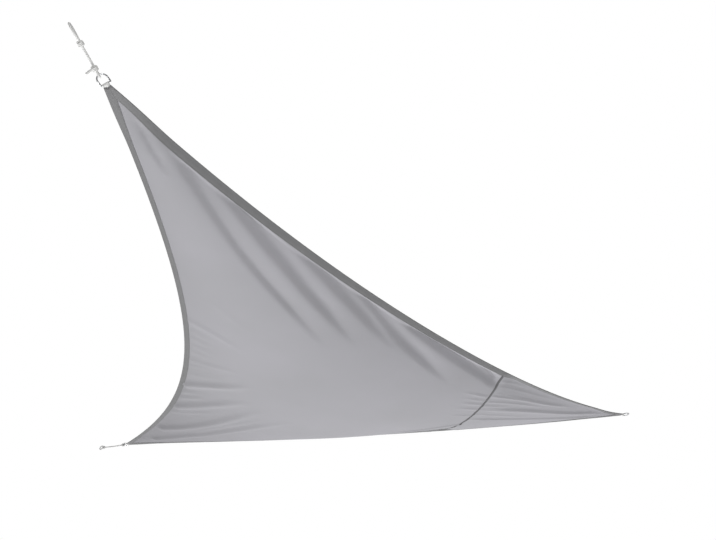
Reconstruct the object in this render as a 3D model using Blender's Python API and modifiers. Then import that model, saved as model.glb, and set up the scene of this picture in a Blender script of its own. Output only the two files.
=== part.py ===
# A three-cornered shade sail, hung by its corner rings: two cloth panels, folded edge webbing, ring tabs,
# wire D-rings and two tied ropes. Metres, +Z up. The origin is where the rope pulls on the high ring.
import math

import bmesh
import bpy
import numpy as np
from mathutils import Matrix, Vector

# ---- the cloth's outline -------------------------------------------------------------------------
side = 3.62                          # between the points where the edge lines meet
dropLow = 0.853                      # how far the low corner hangs below the high one
dropRight = 0.746                    # the same for the right corner
headingRight = math.radians(45.9)    # of the right corner, seen from above, from +Y towards +X

# Each edge is a bowed line. bow: how far it is cut in, lean: how far the bow sits towards the second corner,
# full: how much fuller it is towards both corners, skew: how much fuller still towards the second one,
# sag: how far the edge hangs down at its middle.
edges = {
    "high_low": {"ends": ("high", "low"), "bow": 0.362, "lean": 0.167, "full": -0.10, "skew": -0.058, "sag": 0.03},
    "low_right": {"ends": ("low", "right"), "bow": 0.096, "lean": 0.214, "full": -0.23, "skew": 0.46, "sag": 0.07},
    "high_right": {"ends": ("high", "right"), "bow": 0.119, "lean": 0.095, "full": 0.19, "skew": 0.078, "sag": 0.11},
}
bellyDepth = 0.15                    # the cloth hangs this far below its edges
bellyRise = 2.6                      # how fast the belly starts at the high corner
bellyFall = 7.0                      # how late it ends at the low-right edge
cornerFlat = 0.035                   # share of the way from the high corner that stays flat
seamShare = {"low_right": 0.652, "high_right": 0.673}    # where the cross seam meets each edge, as a share of its way

# ---- thicknesses and small sizes -----------------------------------------------------------------
clothThick = 0.001
webThick = 0.001
gap = 0.0003                         # between pieces that touch
webGap = 0.00095                     # between the cloth and its edge webbing
hem = 0.028                          # width of the edge webbing
hemInset = 0.0008                    # the cloth's edge lies this far inside the webbing's fold
mitreGap = 0.0014                    # between two edge webbings at a corner
seamLap = 0.012                      # the two panels overlap by this much
seamRamp = 0.016                     # beside the lap, the lower cloth and webbing come back up over this length
lapClear = 0.002
bluntWidth = 0.025                   # of each corner's cut end
tabWidth = 0.0235                    # of the strip that comes out of it
tabLeg = {"high": 0.036, "low": 0.038, "right": 0.040}
tabFree = 0.0005                     # the tab leaves the corner's plane this far past the cut end
tabTwisted = 0.0045                  # and is fully twisted and this far open here
tabSpread = 0.0029
trim = 0.010                         # the cloth's corners stop this far outside the webbing's inner corner

# The cloth is flat near each corner, and rolled there about its line of pull, up on the side of the edge named
# second. Over the blend it passes into its own hung shape. raise shifts the turning axis towards the first edge.
# The tab's loop and the ring are turned further by the twist.
corners = {
    "high": {"edges": ("high_low", "high_right"), "flat": 0.060, "blend": 0.25, "roll": math.radians(8),
             "twist": math.radians(28), "raise": 0.5},
    "low": {"edges": ("low_right", "high_low"), "flat": 0.085, "blend": 0.25, "roll": math.radians(2),
            "twist": math.radians(8), "raise": 0.0},
    "right": {"edges": ("low_right", "high_right"), "flat": 0.085, "blend": 0.25, "roll": math.radians(-2),
              "twist": math.radians(8), "raise": 0.0},
}
edgeAim = 0.08                       # an edge's direction at its corner is taken to its point this far away
mitreReach = 0.3                     # only this near to a corner can the webbing be mitred

# ---- rings and ropes -----------------------------------------------------------------------------
wireRadius = 0.0025
ringHalfWidth = 0.0175               # of the wire's centre line
ringShift = 0.0022                   # the ring sits this far along its bar in the tab
ringBend = 0.003                     # radius at the two ends of the bar
barReach = 0.0085                    # the bar's centre, beyond the corner's cut end
ringLength = 0.036                   # from the bar's centre to the far side's
ropeRadius = 0.004
knotRadius = 0.0098
knotEnd = 0.0086                     # radius of a knot's flat ends
knotLength = 0.020
knotTurns = 3
knotGroove = 0.0016                  # depth between a knot's turns
knotRound = 0.0006                   # the turns start this far from the ends
knotReach = 0.012                    # from the ring's far end to the knot
ropeSpread = ropeRadius + gap        # from the middle of two strands side by side to either
eyeLength = 0.060
eyeHalfWidth = 0.014
ropes = {
    "high": {"length": 0.062, "sag": 0.0, "heading": (-0.33, -0.90, 0.56), "tail": (-0.80, 0.10, -0.45)},
    "low": {"length": 0.300, "sag": 0.002, "heading": (-0.717, 0.697, 0.0), "tail": None},
}
tailLength = 0.020
tailShape = ((0.0, 0.0), (0.4, 0.0), (0.75, 0.12), (1.0, 0.27))   # its way out and down, in tail lengths
ropeStep = 0.009                     # spacing of a rope's points in its loops

# ---- folds ---------------------------------------------------------------------------------------
# From and to are measured along the named edge from its first corner, and inward from the straight line between
# its corners. Depth is positive where the cloth bulges down.
foldColumns = ("edge", "fromAlong", "fromIn", "toAlong", "toIn", "width", "depth")
folds = [
    ("high_right", 0.12, 0.045, 0.45, 0.220, 0.024, -0.004),
    ("high_right", 0.24, 0.060, 1.62, 0.580, 0.036, -0.009),
    ("high_right", 0.46, 0.080, 1.88, 0.465, 0.033, -0.009),
    ("high_right", 0.85, 0.100, 1.96, 0.365, 0.033, -0.008),
    ("high_right", 1.30, 0.140, 2.34, 0.375, 0.033, -0.008),
    ("high_right", 1.75, 0.145, 2.52, 0.250, 0.030, -0.007),
    ("high_low", 2.30, 0.380, 1.75, 0.800, 0.060, -0.005),
    ("high_low", 2.64, 0.370, 1.90, 0.860, 0.060, -0.006),
    ("high_low", 3.10, 0.250, 2.10, 0.900, 0.060, -0.006),
    ("high_low", 3.42, 0.150, 2.10, 1.100, 0.060, -0.005),
    ("low_right", 2.84, 0.780, 3.50, 0.150, 0.035, -0.006),
    ("low_right", 2.72, 0.520, 3.42, 0.130, 0.035, -0.005),
]
foldFade = 0.3                       # share of a fold's length over which it fades in and out
foldRoom = 0.06                      # folds die out this near to the webbing

# Beside some edges the cloth lifts: over a share of the edge, highest at the crest's distance from it.
liftColumns = ("edge", "rise", "full", "hold", "end", "height", "crest")
lifts = [
    ("high_right", 0.665, 0.70, 0.92, 0.975, 0.014, 0.05),
    ("high_low", 0.72, 0.82, 0.93, 0.97, 0.010, 0.05),
]

# Beside the seam the low-right edge is tucked: from the edge the cloth rises steeply to a crease, that runs from
# near to far, and comes back down over the reach.
tuck = {"rise": 0.44, "full": 0.655, "hold": 0.655, "end": 0.70, "height": 0.026, "near": 0.012, "far": 0.045,
        "reach": 0.30}

# ---- the grid ------------------------------------------------------------------------------------
mainColumns = 28
cornerColumns = 7
# Rows between the low-right edge and the high-right one: up to this share of the way, this many rows.
rowBands = [(0.48, 19), (0.76, 5), (1.0, 22)]

slant = math.sqrt(0.75)              # height of an equilateral triangle, as a share of its side
laps = {edge: (share - 0.5 * seamLap / side, share + 0.5 * seamLap / side) for edge, share in seamShare.items()}
cornerEnd = 0.008                    # the corner panel's width, between the webbings, where it ends
cornerLast = 0.040                   # length of its last column

sailCollection = "shade_sail"


def clearScene():
    for item in list(bpy.data.objects):
        bpy.data.objects.remove(item)


def unit(vector):
    return vector / np.linalg.norm(vector)


def smooth(value):
    held = np.clip(value, 0.0, 1.0)
    return held * held * (3 - 2 * held)


# ---- where the corners are -----------------------------------------------------------------------
def cornerPlaces():
    reachRight = math.sqrt(side ** 2 - dropRight ** 2)
    reachLow = math.sqrt(side ** 2 - dropLow ** 2)
    between = (reachLow ** 2 + reachRight ** 2 - side ** 2 + (dropRight - dropLow) ** 2) / (2 * reachLow * reachRight)
    headingLow = headingRight - math.acos(between)
    right = np.array([reachRight * math.sin(headingRight), reachRight * math.cos(headingRight), -dropRight])
    low = np.array([reachLow * math.sin(headingLow), reachLow * math.cos(headingLow), -dropLow])
    return {"high": np.zeros(3), "low": low, "right": right}


place = cornerPlaces()
alongAxis = unit(place["right"] - place["high"])
inwardAxis = unit(place["low"] - np.dot(place["low"], alongAxis) * alongAxis)
upAxis = unit(np.cross(alongAxis, inwardAxis))
if upAxis[2] < 0:
    upAxis = -upAxis
down = np.array([0.0, 0.0, -1.0])

# The same corners on the flat cloth: x from the high corner to the right one, y inward.
flatCorner = {
    "high": np.array([0.0, 0.0]),
    "right": np.array([side, 0.0]),
    "low": np.array([side / 2, side * math.sqrt(3) / 2]),
}
flatMiddle = sum(flatCorner.values()) / 3


def inwardNormal(start, run):
    normal = np.array([-run[1], run[0]])
    return normal if np.dot(normal, flatMiddle - start) > 0 else -normal


def bulge(share, edge):
    reach = 2 * share - 1
    uneven = edge["lean"] * reach + edge["full"] * reach ** 2 + edge["skew"] * reach ** 3
    return 4 * share * (1 - share) * (1 + uneven)


def flatEdge(name, share):
    edge = edges[name]
    start, end = (flatCorner[corner] for corner in edge["ends"])
    share = np.asarray(share, float)
    run = (end - start) / side
    depth = edge["bow"] * bulge(share, edge)
    return start + share[..., None] * (end - start) + depth[..., None] * inwardNormal(start, run)


def edgeSag(name, share):
    return edges[name]["sag"] * bulge(np.asarray(share, float), edges[name])


# ---- the sail's surface: s runs from the high-low edge to the right corner, t from low-right to high-right 
def flatPlace(s, t):
    s, t = np.asarray(s, float), np.asarray(t, float)
    chord = flatCorner["low"] + t[..., None] * (flatCorner["high"] - flatCorner["low"])
    sideBow = flatEdge("high_low", 1 - t) - chord
    ruled = (1 - t)[..., None] * flatEdge("low_right", s) + t[..., None] * flatEdge("high_right", s)
    return ruled + ((1 - s) ** 2)[..., None] * sideBow


def foldDepth(flat, room):
    total = np.zeros(flat.shape[:-1])
    for row in folds:
        fold = dict(zip(foldColumns, row))
        start, end = (flatCorner[corner] for corner in edges[fold["edge"]]["ends"])
        run = (end - start) / side
        normal = inwardNormal(start, run)
        first = start + fold["fromAlong"] * run + fold["fromIn"] * normal
        last = start + fold["toAlong"] * run + fold["toIn"] * normal
        length = np.linalg.norm(last - first)
        way = (last - first) / length
        offset = flat - first
        along = offset @ way / length
        across = offset @ np.array([-way[1], way[0]])
        fade = smooth(along / foldFade) * smooth((1 - along) / foldFade)
        total += fold["depth"] * fade * np.exp(-(across / fold["width"]) ** 2)
    return total * smooth((room - hem) / foldRoom)


def span(share, table):
    return smooth((share - table["rise"]) / (table["full"] - table["rise"])) \
        * smooth((table["end"] - share) / (table["end"] - table["hold"]))


def liftHeight(s, t):
    total = np.zeros(np.broadcast(s, t).shape)
    for row in lifts:
        lift = dict(zip(liftColumns, row))
        share, away = (s, (1 - t) * (1 - s)) if lift["edge"] == "high_right" else (1 - t, s)
        near = away * side * slant / lift["crest"]
        total += lift["height"] * span(share, lift) * near * np.exp(1 - near)
    return total


def tuckHeight(s, fromEdge):
    share = span(s, tuck)
    crease = tuck["near"] + (tuck["far"] - tuck["near"]) * share
    back = 1 - smooth((fromEdge - crease) / tuck["reach"])
    return tuck["height"] * share * np.where(fromEdge < crease, fromEdge / crease, back)


def hangDepth(s, t, flat):
    edgePart = (1 - t) * edgeSag("low_right", s) + t * edgeSag("high_right", s)
    edgePart = edgePart + (1 - s) ** 2 * edgeSag("high_low", 1 - t)
    reach = np.maximum(1 - (1 - s) * t, 1e-6)
    across = np.clip(s / reach, 0, 1)
    belly = bellyDepth * (1 - np.abs(1 - reach) ** bellyRise) * (1 - reach ** bellyFall)
    belly = belly * 4 * across * (1 - across) * (1 - np.exp(-(reach / cornerFlat) ** 2))
    width = (1 - s) * side * slant
    room = np.minimum(np.minimum(t * width, (1 - t) * width), s * side * slant)
    return edgePart + belly + foldDepth(flat, room) - tuckHeight(s, t * width) - liftHeight(s, t)


def cornerLines(name):
    # Directions into the sail along both edges, their bisector, and the half angle between them.
    ways = []
    for edge in corners[name]["edges"]:
        share = edgeAim / side if edges[edge]["ends"][0] == name else 1 - edgeAim / side
        ways.append(unit(flatEdge(edge, share) - flatCorner[name]))
    middle = unit(ways[0] + ways[1])
    toSecond = unit(ways[1] - ways[0])
    return {"middle": middle, "toSecond": toSecond, "half": math.acos(float(np.dot(ways[0], middle)))}


lines = {name: cornerLines(name) for name in corners}


def toSpace(flatVector):
    return flatVector[..., :1] * alongAxis + flatVector[..., 1:] * inwardAxis


def curvedPoint(s, t):
    s, t = np.asarray(s, float), np.asarray(t, float)
    flat = flatPlace(s, t)
    return place["high"] + toSpace(flat) + hangDepth(s, t, flat)[..., None] * down


def paramAt(target, guess):
    # The (s, t) whose place on the flat cloth is the target.
    current = np.array(guess, float)
    step = 1e-5
    for _ in range(12):
        here = flatPlace(current[0], current[1])
        slopeS = (flatPlace(current[0] + step, current[1]) - here) / step
        slopeT = (flatPlace(current[0], current[1] + step) - here) / step
        current = current + np.linalg.solve(np.stack([slopeS, slopeT], 1), target - here)
    return current


def cornerPlane(name):
    # The flat patch at a corner: along its line of pull, and across it towards the second edge.
    line = lines[name]
    guess = {"high": (0.02, 0.98), "low": (0.02, 0.02), "right": (0.97, 0.5)}[name]
    spot = flatCorner[name] + corners[name]["flat"] * line["middle"]
    step = 0.005 * line["toSecond"]
    here, left, right = (curvedPoint(*paramAt(target, guess)) for target in (spot, spot - step, spot + step))
    angle = corners[name]["roll"]
    lift = corners[name]["raise"] * math.sin(angle) * math.tan(line["half"]) * corners[name]["flat"]
    into = unit(here - lift * down - place[name])
    across = right - left
    across = unit(across - np.dot(across, into) * into)
    normal = np.cross(into, across)
    normal = normal if normal[2] > 0 else -normal
    return {"into": into, "across": math.cos(angle) * across + math.sin(angle) * normal}


def cornerPlanes():
    found = {name: cornerPlane(name) for name in corners}
    for patch in found.values():
        patch["normal"] = np.cross(patch["into"], patch["across"])
        patch["normal"] *= np.sign(patch["normal"][2])
    return found


def bluntBack(corner):
    # From the point where the edge lines meet back to the corner's cut end.
    return bluntWidth / 2 / math.tan(lines[corner]["half"])


# The origin is where the rope bears on the high ring's far side.
planes = cornerPlanes()
pullPoint = (barReach + ringLength - wireRadius - bluntBack("high")) * -planes["high"]["into"]
place = {name: spot - pullPoint for name, spot in place.items()}


def planePoint(name, flat):
    line, patch = lines[name], planes[name]
    offset = flat - flatCorner[name]
    into, across = offset @ line["middle"], offset @ line["toSecond"]
    return place[name] + into[..., None] * patch["into"] + across[..., None] * patch["across"]


def sailPoint(s, t):
    point = curvedPoint(s, t)
    flat = flatPlace(s, t)
    for name in corners:
        distance = np.linalg.norm(flat - flatCorner[name], axis=-1)
        blend = corners[name]["blend"]
        share = smooth((corners[name]["flat"] + blend - distance) / blend)[..., None]
        point = point + share * (planePoint(name, flat) - point)
    return point


def edgeParam(name, share):
    return {"high_low": (0.0, 1 - share), "low_right": (share, 0.0), "high_right": (share, 1.0)}[name]


def edgeFrame(name, share):
    step = 1e-4
    here = flatEdge(name, share)
    run = unit(flatEdge(name, share + step) - flatEdge(name, share - step))
    return here, inwardNormal(here, run)


def inwardParam(name, share, distance):
    here, inward = edgeFrame(name, share)
    return paramAt(here + distance * inward, edgeParam(name, share))


def shareAt(edge, corner, distance):
    # The share of an edge whose point is this far from the corner.
    away = distance / side
    for _ in range(6):
        share = away if edges[edge]["ends"][0] == corner else 1 - away
        away *= distance / float(np.linalg.norm(flatEdge(edge, share) - flatCorner[corner]))
    return away if edges[edge]["ends"][0] == corner else 1 - away


def innerCorner(corner):
    # Where, along both edges, the webbings' inner lines meet.
    names = corners[corner]["edges"]
    shares = np.array([shareAt(name, corner, hem / math.tan(lines[corner]["half"])) for name in names])

    def miss(values):
        (here, inward), (there, outward) = (edgeFrame(name, share) for name, share in zip(names, values))
        return here + hem * inward - there - hem * outward

    step = 1e-5
    for _ in range(8):
        now = miss(shares)
        slopes = np.stack([(miss(shares + step * np.eye(2)[axis]) - now) / step for axis in range(2)], 1)
        shares = shares - np.linalg.solve(slopes, now)
    return dict(zip(names, (float(share) for share in shares)))


feet = {corner: innerCorner(corner) for corner in corners}


# ---- making meshes -------------------------------------------------------------------------------
def addObject(name, mesh, material):
    piece = bpy.data.objects.new(name, mesh)
    bpy.data.collections[sailCollection].objects.link(piece)
    mesh.materials.append(material)
    if piece.type == "MESH":
        mesh.shade_smooth()
        mesh.set_sharp_from_angle(angle=math.radians(50))
    return piece


def sheet(name, rows, thickness, material, mainDiagonal):
    # An open surface through rows of points, which Solidify makes a sheet of even thickness.
    points = np.array(rows)
    rowCount, columnCount = points.shape[:2]
    bm = bmesh.new()
    verts = [[bm.verts.new(point) for point in row] for row in points]
    for r in range(rowCount - 1):
        for c in range(columnCount - 1):
            a, b = verts[r][c], verts[r][c + 1]
            d, e = verts[r + 1][c], verts[r + 1][c + 1]
            faces = ((a, b, e), (a, e, d)) if mainDiagonal(r, c) else ((a, b, d), (b, e, d))
            for face in faces:
                bm.faces.new(face)
    bmesh.ops.recalc_face_normals(bm, faces=bm.faces)
    mesh = bpy.data.meshes.new(name)
    bm.to_mesh(mesh)
    bm.free()
    piece = addObject(name, mesh, material)
    shell = piece.modifiers.new("thickness", "SOLIDIFY")
    shell.thickness = thickness
    shell.offset = 0.0
    shell.use_even_offset = True
    return piece


def wire(name, points, radius, material, closed=False, sides=2):
    # A round wire or rope: a poly curve with a round bevel.
    curve = bpy.data.curves.new(name, "CURVE")
    curve.dimensions = "3D"
    spline = curve.splines.new("POLY")
    spline.points.add(len(points) - 1)
    for target, point in zip(spline.points, points):
        target.co = (*point, 1.0)
    spline.use_cyclic_u = closed
    spline.use_smooth = True
    curve.bevel_depth = radius
    curve.bevel_resolution = sides
    curve.use_fill_caps = not closed
    return addObject(name, curve, material)


def smoothRoute(route, spacing):
    # Points at an even spacing on a smooth curve through the route's own points.
    route = [Vector(point) for point in route]
    ends = [2 * route[0] - route[1]] + route + [2 * route[-1] - route[-2]]
    fine = []
    for before, start, end, after in zip(ends, ends[1:], ends[2:], ends[3:]):
        for step in range(24):
            share = step / 24
            pull = (end - before) / 2, (after - start) / 2
            rise = 3 * share ** 2 - 2 * share ** 3
            fine.append(start + rise * (end - start)
                        + (share ** 3 - 2 * share ** 2 + share) * pull[0]
                        + (share ** 3 - share ** 2) * pull[1])
    fine.append(route[-1])
    lengths = np.cumsum([0.0] + [(b - a).length for a, b in zip(fine, fine[1:])])
    count = max(2, round(lengths[-1] / spacing))
    wanted = np.linspace(0, lengths[-1], count + 1)
    columns = [np.interp(wanted, lengths, [point[axis] for point in fine]) for axis in range(3)]
    return [Vector(point) for point in zip(*columns)]


def finish(name, color, roughness, metallic=0.0):
    material = bpy.data.materials.new(name)
    material.use_nodes = True
    shader = material.node_tree.nodes["Principled BSDF"]
    shader.inputs["Base Color"].default_value = (*color, 1.0)
    shader.inputs["Roughness"].default_value = roughness
    shader.inputs["Metallic"].default_value = metallic
    return material


# ---- cloth panels --------------------------------------------------------------------------------
def rowShares():
    shares, start = [0.0], 0.0
    for end, count in rowBands:
        shares += list(np.linspace(start, end, count + 1)[1:])
        start = end
    return shares


def coons(left, right, bottom, top, shares):
    # Fills the field between four lines of (s, t) pairs, its columns at the shares along the top.
    up = np.array(rowShares())[:, None, None]
    over = ((np.array(shares) - shares[0]) / (shares[-1] - shares[0]))[None, :, None]
    ruled = (1 - over) * left[:, None] + over * right[:, None] + (1 - up) * bottom[None] + up * top[None]
    return ruled - (1 - over) * ((1 - up) * bottom[0] + up * top[0]) - over * ((1 - up) * bottom[-1] + up * top[-1])


def hemLine(name, shares):
    return np.array([inwardParam(name, share, hem) for share in shares])


def straightColumn(bottomShare, topShare):
    bottom, top = inwardParam("low_right", bottomShare, hem), inwardParam("high_right", topShare, hem)
    return np.array([(1 - up) * bottom + up * top for up in rowShares()])


def edgePoint(name, share, inner):
    # A point near the cloth's edge, on the straight line from the edge to the webbing's inner line.
    outer = sailPoint(*edgeParam(name, share))
    return outer + (inner - outer) * hemInset / hem


def trimPoint(corner):
    line = lines[corner]
    target = flatCorner[corner] + line["middle"] * (hem / math.sin(line["half"]) - trim)
    guess = {"high": (0.03, 0.97), "low": (0.03, 0.03)}[corner]
    return sailPoint(*paramAt(target, guess))


def hemRows(points, bottomShares, topShares):
    # The panel's points with its two long edge strips.
    bottom = [edgePoint("low_right", share, inner) for share, inner in zip(bottomShares, points[0])]
    top = [edgePoint("high_right", share, inner) for share, inner in zip(topShares, points[-1])]
    return np.concatenate([[bottom], points, [top]])


def mainShares(edge):
    start = feet[edges[edge]["ends"][0]][edge]
    lapStart = laps[edge][0]
    return list(np.linspace(start, lapStart - seamRamp / side, mainColumns + 1)) + [lapStart]


def sideShares():
    low, high = (1 - feet[corner]["high_low"] for corner in ("low", "high"))
    return [1 - (low + (high - low) * up) for up in rowShares()]


def panelMain(material):
    bottom, top = mainShares("low_right"), mainShares("high_right")
    left = hemLine("high_low", sideShares())
    starts, ends = zip(laps["low_right"], laps["high_right"])
    field = coons(left, straightColumn(*starts), hemLine("low_right", bottom), hemLine("high_right", top), top)
    field = np.concatenate([field, straightColumn(*ends)[:, None]], axis=1)
    points = sailPoint(field[..., 0], field[..., 1])
    strip = [edgePoint("high_low", share, inner) for share, inner in zip(sideShares(), points[:, 0])]
    strip = [trimPoint("low")] + strip + [trimPoint("high")]
    rows = hemRows(points, bottom + [ends[0]], top + [ends[1]])
    rows = np.concatenate([np.array(strip)[:, None], rows], axis=1)
    lastRow = len(rows) - 2
    return sheet("panel_main", rows, clothThick, material, lambda r, c: r < lastRow or c == 0)


def cornerShares(edge):
    width = 2 * hem + cornerEnd
    end = 1 - width / 2 / math.tan(lines["right"]["half"]) / side
    last = end - cornerLast / side
    lapEnd = laps[edge][1]
    return [laps[edge][0], lapEnd] + list(np.linspace(lapEnd + seamRamp / side, last, cornerColumns)) + [end]


def gridNormals(rows):
    normals = np.cross(np.gradient(rows, axis=1), np.gradient(rows, axis=0))
    normals /= np.linalg.norm(normals, axis=-1, keepdims=True)
    return normals * np.sign(normals[..., 2:])


def panelCorner(material):
    bottom, top = cornerShares("low_right"), cornerShares("high_right")
    sides = [straightColumn(bottom[column], top[column]) for column in (0, 1, -1)]
    field = coons(sides[1], sides[2], hemLine("low_right", bottom[1:]), hemLine("high_right", top[1:]), top[1:])
    field = np.concatenate([sides[0][:, None], field], axis=1)
    rows = hemRows(sailPoint(field[..., 0], field[..., 1]), bottom, top)
    normals = gridNormals(rows)
    for column in (0, 1):
        rows[:, column] -= (clothThick + gap) * normals[:, column]
    lastRow = len(rows) - 2
    return sheet("panel_corner", rows, clothThick, material, lambda r, c: r < lastRow)


# ---- edge webbing --------------------------------------------------------------------------------
def legLength(name, share):
    # The webbing's width, less where it meets the next webbing at a corner's bisector.
    here, inward = edgeFrame(name, share)
    width = hem
    for corner in edges[name]["ends"]:
        line = lines[corner]
        toward = line["toSecond"] if corners[corner]["edges"][1] == name else -line["toSecond"]
        if np.linalg.norm(here - flatCorner[corner]) < mitreReach:
            lateral = float(np.dot(here - flatCorner[corner], toward))
            width = min(width, (lateral - mitreGap / 2) / -float(np.dot(inward, toward)))
    return width


def seamDrop(name, share):
    # Over the seam's lap the webbing's lower leg stands off by one more cloth.
    if name not in laps:
        return 0.0
    outside = max(laps[name][0] - share, share - laps[name][1], 0) * side
    return (clothThick + gap) * float(np.clip((seamRamp - outside) / (seamRamp - lapClear), 0, 1))


def webbingStations(name):
    if name == "high_low":
        shares = sideShares()[::-1]
    else:
        around = [laps[name][0] - lapClear / side, laps[name][1] + lapClear / side]
        shares = mainShares(name)[:-1] + around + cornerShares(name)[2:] + [feet["right"][name]]
    first, last = edges[name]["ends"]
    head, tail = (shareAt(name, end, bluntWidth / 2 / math.sin(lines[end]["half"])) for end in (first, last))
    head = np.linspace(head, shares[0], 4)[:3]
    tail = np.linspace(shares[-1], tail, 4)[1:]
    return list(head) + shares + list(tail)


def webbing(name, material):
    # A band folded over the cloth's edge, its two legs on the same straight lines as the cloth's own edge strip.
    standOff = clothThick / 2 + webGap + webThick / 2
    shares = webbingStations(name)
    outer = np.array([sailPoint(*edgeParam(name, share)) for share in shares])
    inner = np.array([sailPoint(*inwardParam(name, share, legLength(name, share))) for share in shares])
    steps = np.diff(outer + inner, axis=0)
    steps /= np.linalg.norm(steps, axis=1, keepdims=True)
    runs = np.concatenate([steps[:1], steps[:-1] + steps[1:], steps[-1:]])
    rows = []
    for share, far, near, run in zip(shares, outer, inner, runs):
        across = unit(near - far)
        normal = unit(np.cross(run, across))
        normal = normal if normal[2] > 0 else -normal
        below = standOff + seamDrop(name, share)
        rows.append([near - below * normal, far - below * normal, far - standOff * across,
                     far + standOff * normal, near + standOff * normal])
    forward = rows[::-1] if name == "high_low" else rows
    return sheet("webbing_" + name, forward, webThick, material, lambda r, c: c >= 2)


# ---- corner tabs and rings -----------------------------------------------------------------------
def cornerFrame(corner):
    # The corner's cut end: its place, the line of pull, the bar's direction and the tab's normal.
    patch = planes[corner]
    end = place[corner] + bluntBack(corner) * patch["into"]
    return {"end": end, "pull": -patch["into"], "bar": patch["across"], "normal": patch["normal"]}


def turned(frame, angle):
    bar = math.cos(angle) * frame["bar"] + math.sin(angle) * frame["normal"]
    return {**frame, "bar": bar, "normal": math.cos(angle) * frame["normal"] - math.sin(angle) * frame["bar"]}


def tab(corner, frame, material):
    # A doubled strip sewn inside the corner's webbing, looped round the ring's bar.
    standOff = (gap + webThick) / 2
    turn = wireRadius + gap + webThick / 2
    sewn = [(-leg, -standOff) for leg in (tabLeg[corner], 0.5 * tabLeg[corner], -tabFree)]
    around = np.linspace(-math.pi / 2, math.pi / 2, 11)
    looped = [(barReach + turn * math.cos(angle), turn * math.sin(angle)) for angle in around]
    looped = [(tabTwisted, -tabSpread)] + looped + [(tabTwisted, tabSpread)]
    rows = []
    for line, turnedFrame in ((sewn, frame), (looped, turned(frame, corners[corner]["twist"])),
                              ([(out, -up) for out, up in reversed(sewn)], frame)):
        for out, up in line:
            point = frame["end"] + out * frame["pull"] + up * turnedFrame["normal"]
            rows.append([point + over * turnedFrame["bar"] for over in (-tabWidth / 2, 0.0, tabWidth / 2)])
    return sheet("tab_" + corner, rows, webThick, material, lambda r, c: True)


def ring(corner, frame, material):
    bar = frame["end"] + barReach * frame["pull"] + ringShift * frame["bar"]
    outline = []
    for angle in np.linspace(-math.pi / 2, 0, 4):
        outline.append((ringHalfWidth - ringBend + ringBend * math.cos(angle), ringBend + ringBend * math.sin(angle)))
    for angle in np.linspace(0, math.pi, 13):
        outline.append((ringHalfWidth * math.cos(angle), ringLength + ringHalfWidth * (math.sin(angle) - 1)))
    for angle in np.linspace(math.pi, 1.5 * math.pi, 4):
        outline.append((-ringHalfWidth + ringBend + ringBend * math.cos(angle), ringBend + ringBend * math.sin(angle)))
    points = [bar + over * frame["bar"] + out * frame["pull"] for over, out in outline]
    return wire("ring_" + corner, points, wireRadius, material, closed=True)


# ---- ropes ---------------------------------------------------------------------------------------
def knot(name, start, way, material):
    # A few turns of rope pulled tight, as one turned body.
    steps = 4 * knotTurns
    profile = [(0.0, 0.0), (knotEnd, 0.0)]
    for share in np.linspace(0, 1, steps + 1):
        groove = knotGroove * (1 - abs(math.sin(math.pi * share * knotTurns)))
        profile.append((knotRadius - groove, knotRound + share * (knotLength - 2 * knotRound)))
    profile += [(knotEnd, knotLength), (0.0, knotLength)]
    mesh = bpy.data.meshes.new(name)
    bm = bmesh.new()
    verts = [bm.verts.new((radius, 0.0, height)) for radius, height in reversed(profile)]
    for first, second in zip(verts, verts[1:]):
        bm.edges.new((first, second))
    bm.to_mesh(mesh)
    bm.free()
    piece = addObject(name, mesh, material)
    turn = piece.modifiers.new("turn", "SCREW")
    turn.angle = 2 * math.pi
    turn.steps = turn.render_steps = 14
    turn.use_merge_vertices = True
    turn.merge_threshold = 0.00001
    turn.use_smooth_shade = True
    rotation = Vector((0, 0, 1)).rotation_difference(Vector(way)).to_matrix().to_4x4()
    piece.matrix_world = Matrix.Translation(Vector(start)) @ rotation
    return piece


def ringLoop(corner, far, way, normal, material):
    # The bight of rope round the ring's wire.
    radius = wireRadius + ropeRadius + 2 * gap
    route = []
    reach = knotReach - gap
    for share in (1.0, 0.85, 0.5, 0.2):
        wide = ropeSpread + (radius - ropeSpread) * smooth((0.85 - share) / 0.7)
        route.append(far + share * reach * way + wide * normal)
    for angle in np.linspace(0, math.pi, 9)[1:-1]:
        route.append(far - radius * math.sin(angle) * way + radius * math.cos(angle) * normal)
    for share in (0.2, 0.5, 0.85, 1.0):
        wide = ropeSpread + (radius - ropeSpread) * smooth((0.85 - share) / 0.7)
        route.append(far + share * reach * way - wide * normal)
    return wire("rope_" + corner + "_loop", route, ropeRadius, material)


def endEye(corner, start, way, normal, material):
    # The loop at the rope's far end.
    shape = [(0.0, ropeSpread), (0.10, ropeSpread), (0.34, eyeHalfWidth * 0.75), (0.55, eyeHalfWidth),
             (0.78, eyeHalfWidth * 0.9), (0.94, eyeHalfWidth * 0.5)]
    points = [start + eyeLength * share * way + wide * normal for share, wide in shape]
    points.append(start + eyeLength * way)
    points += [start + eyeLength * share * way - wide * normal for share, wide in reversed(shape)]
    return wire("rope_" + corner + "_eye", smoothRoute(points, ropeStep), ropeRadius, material)


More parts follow.
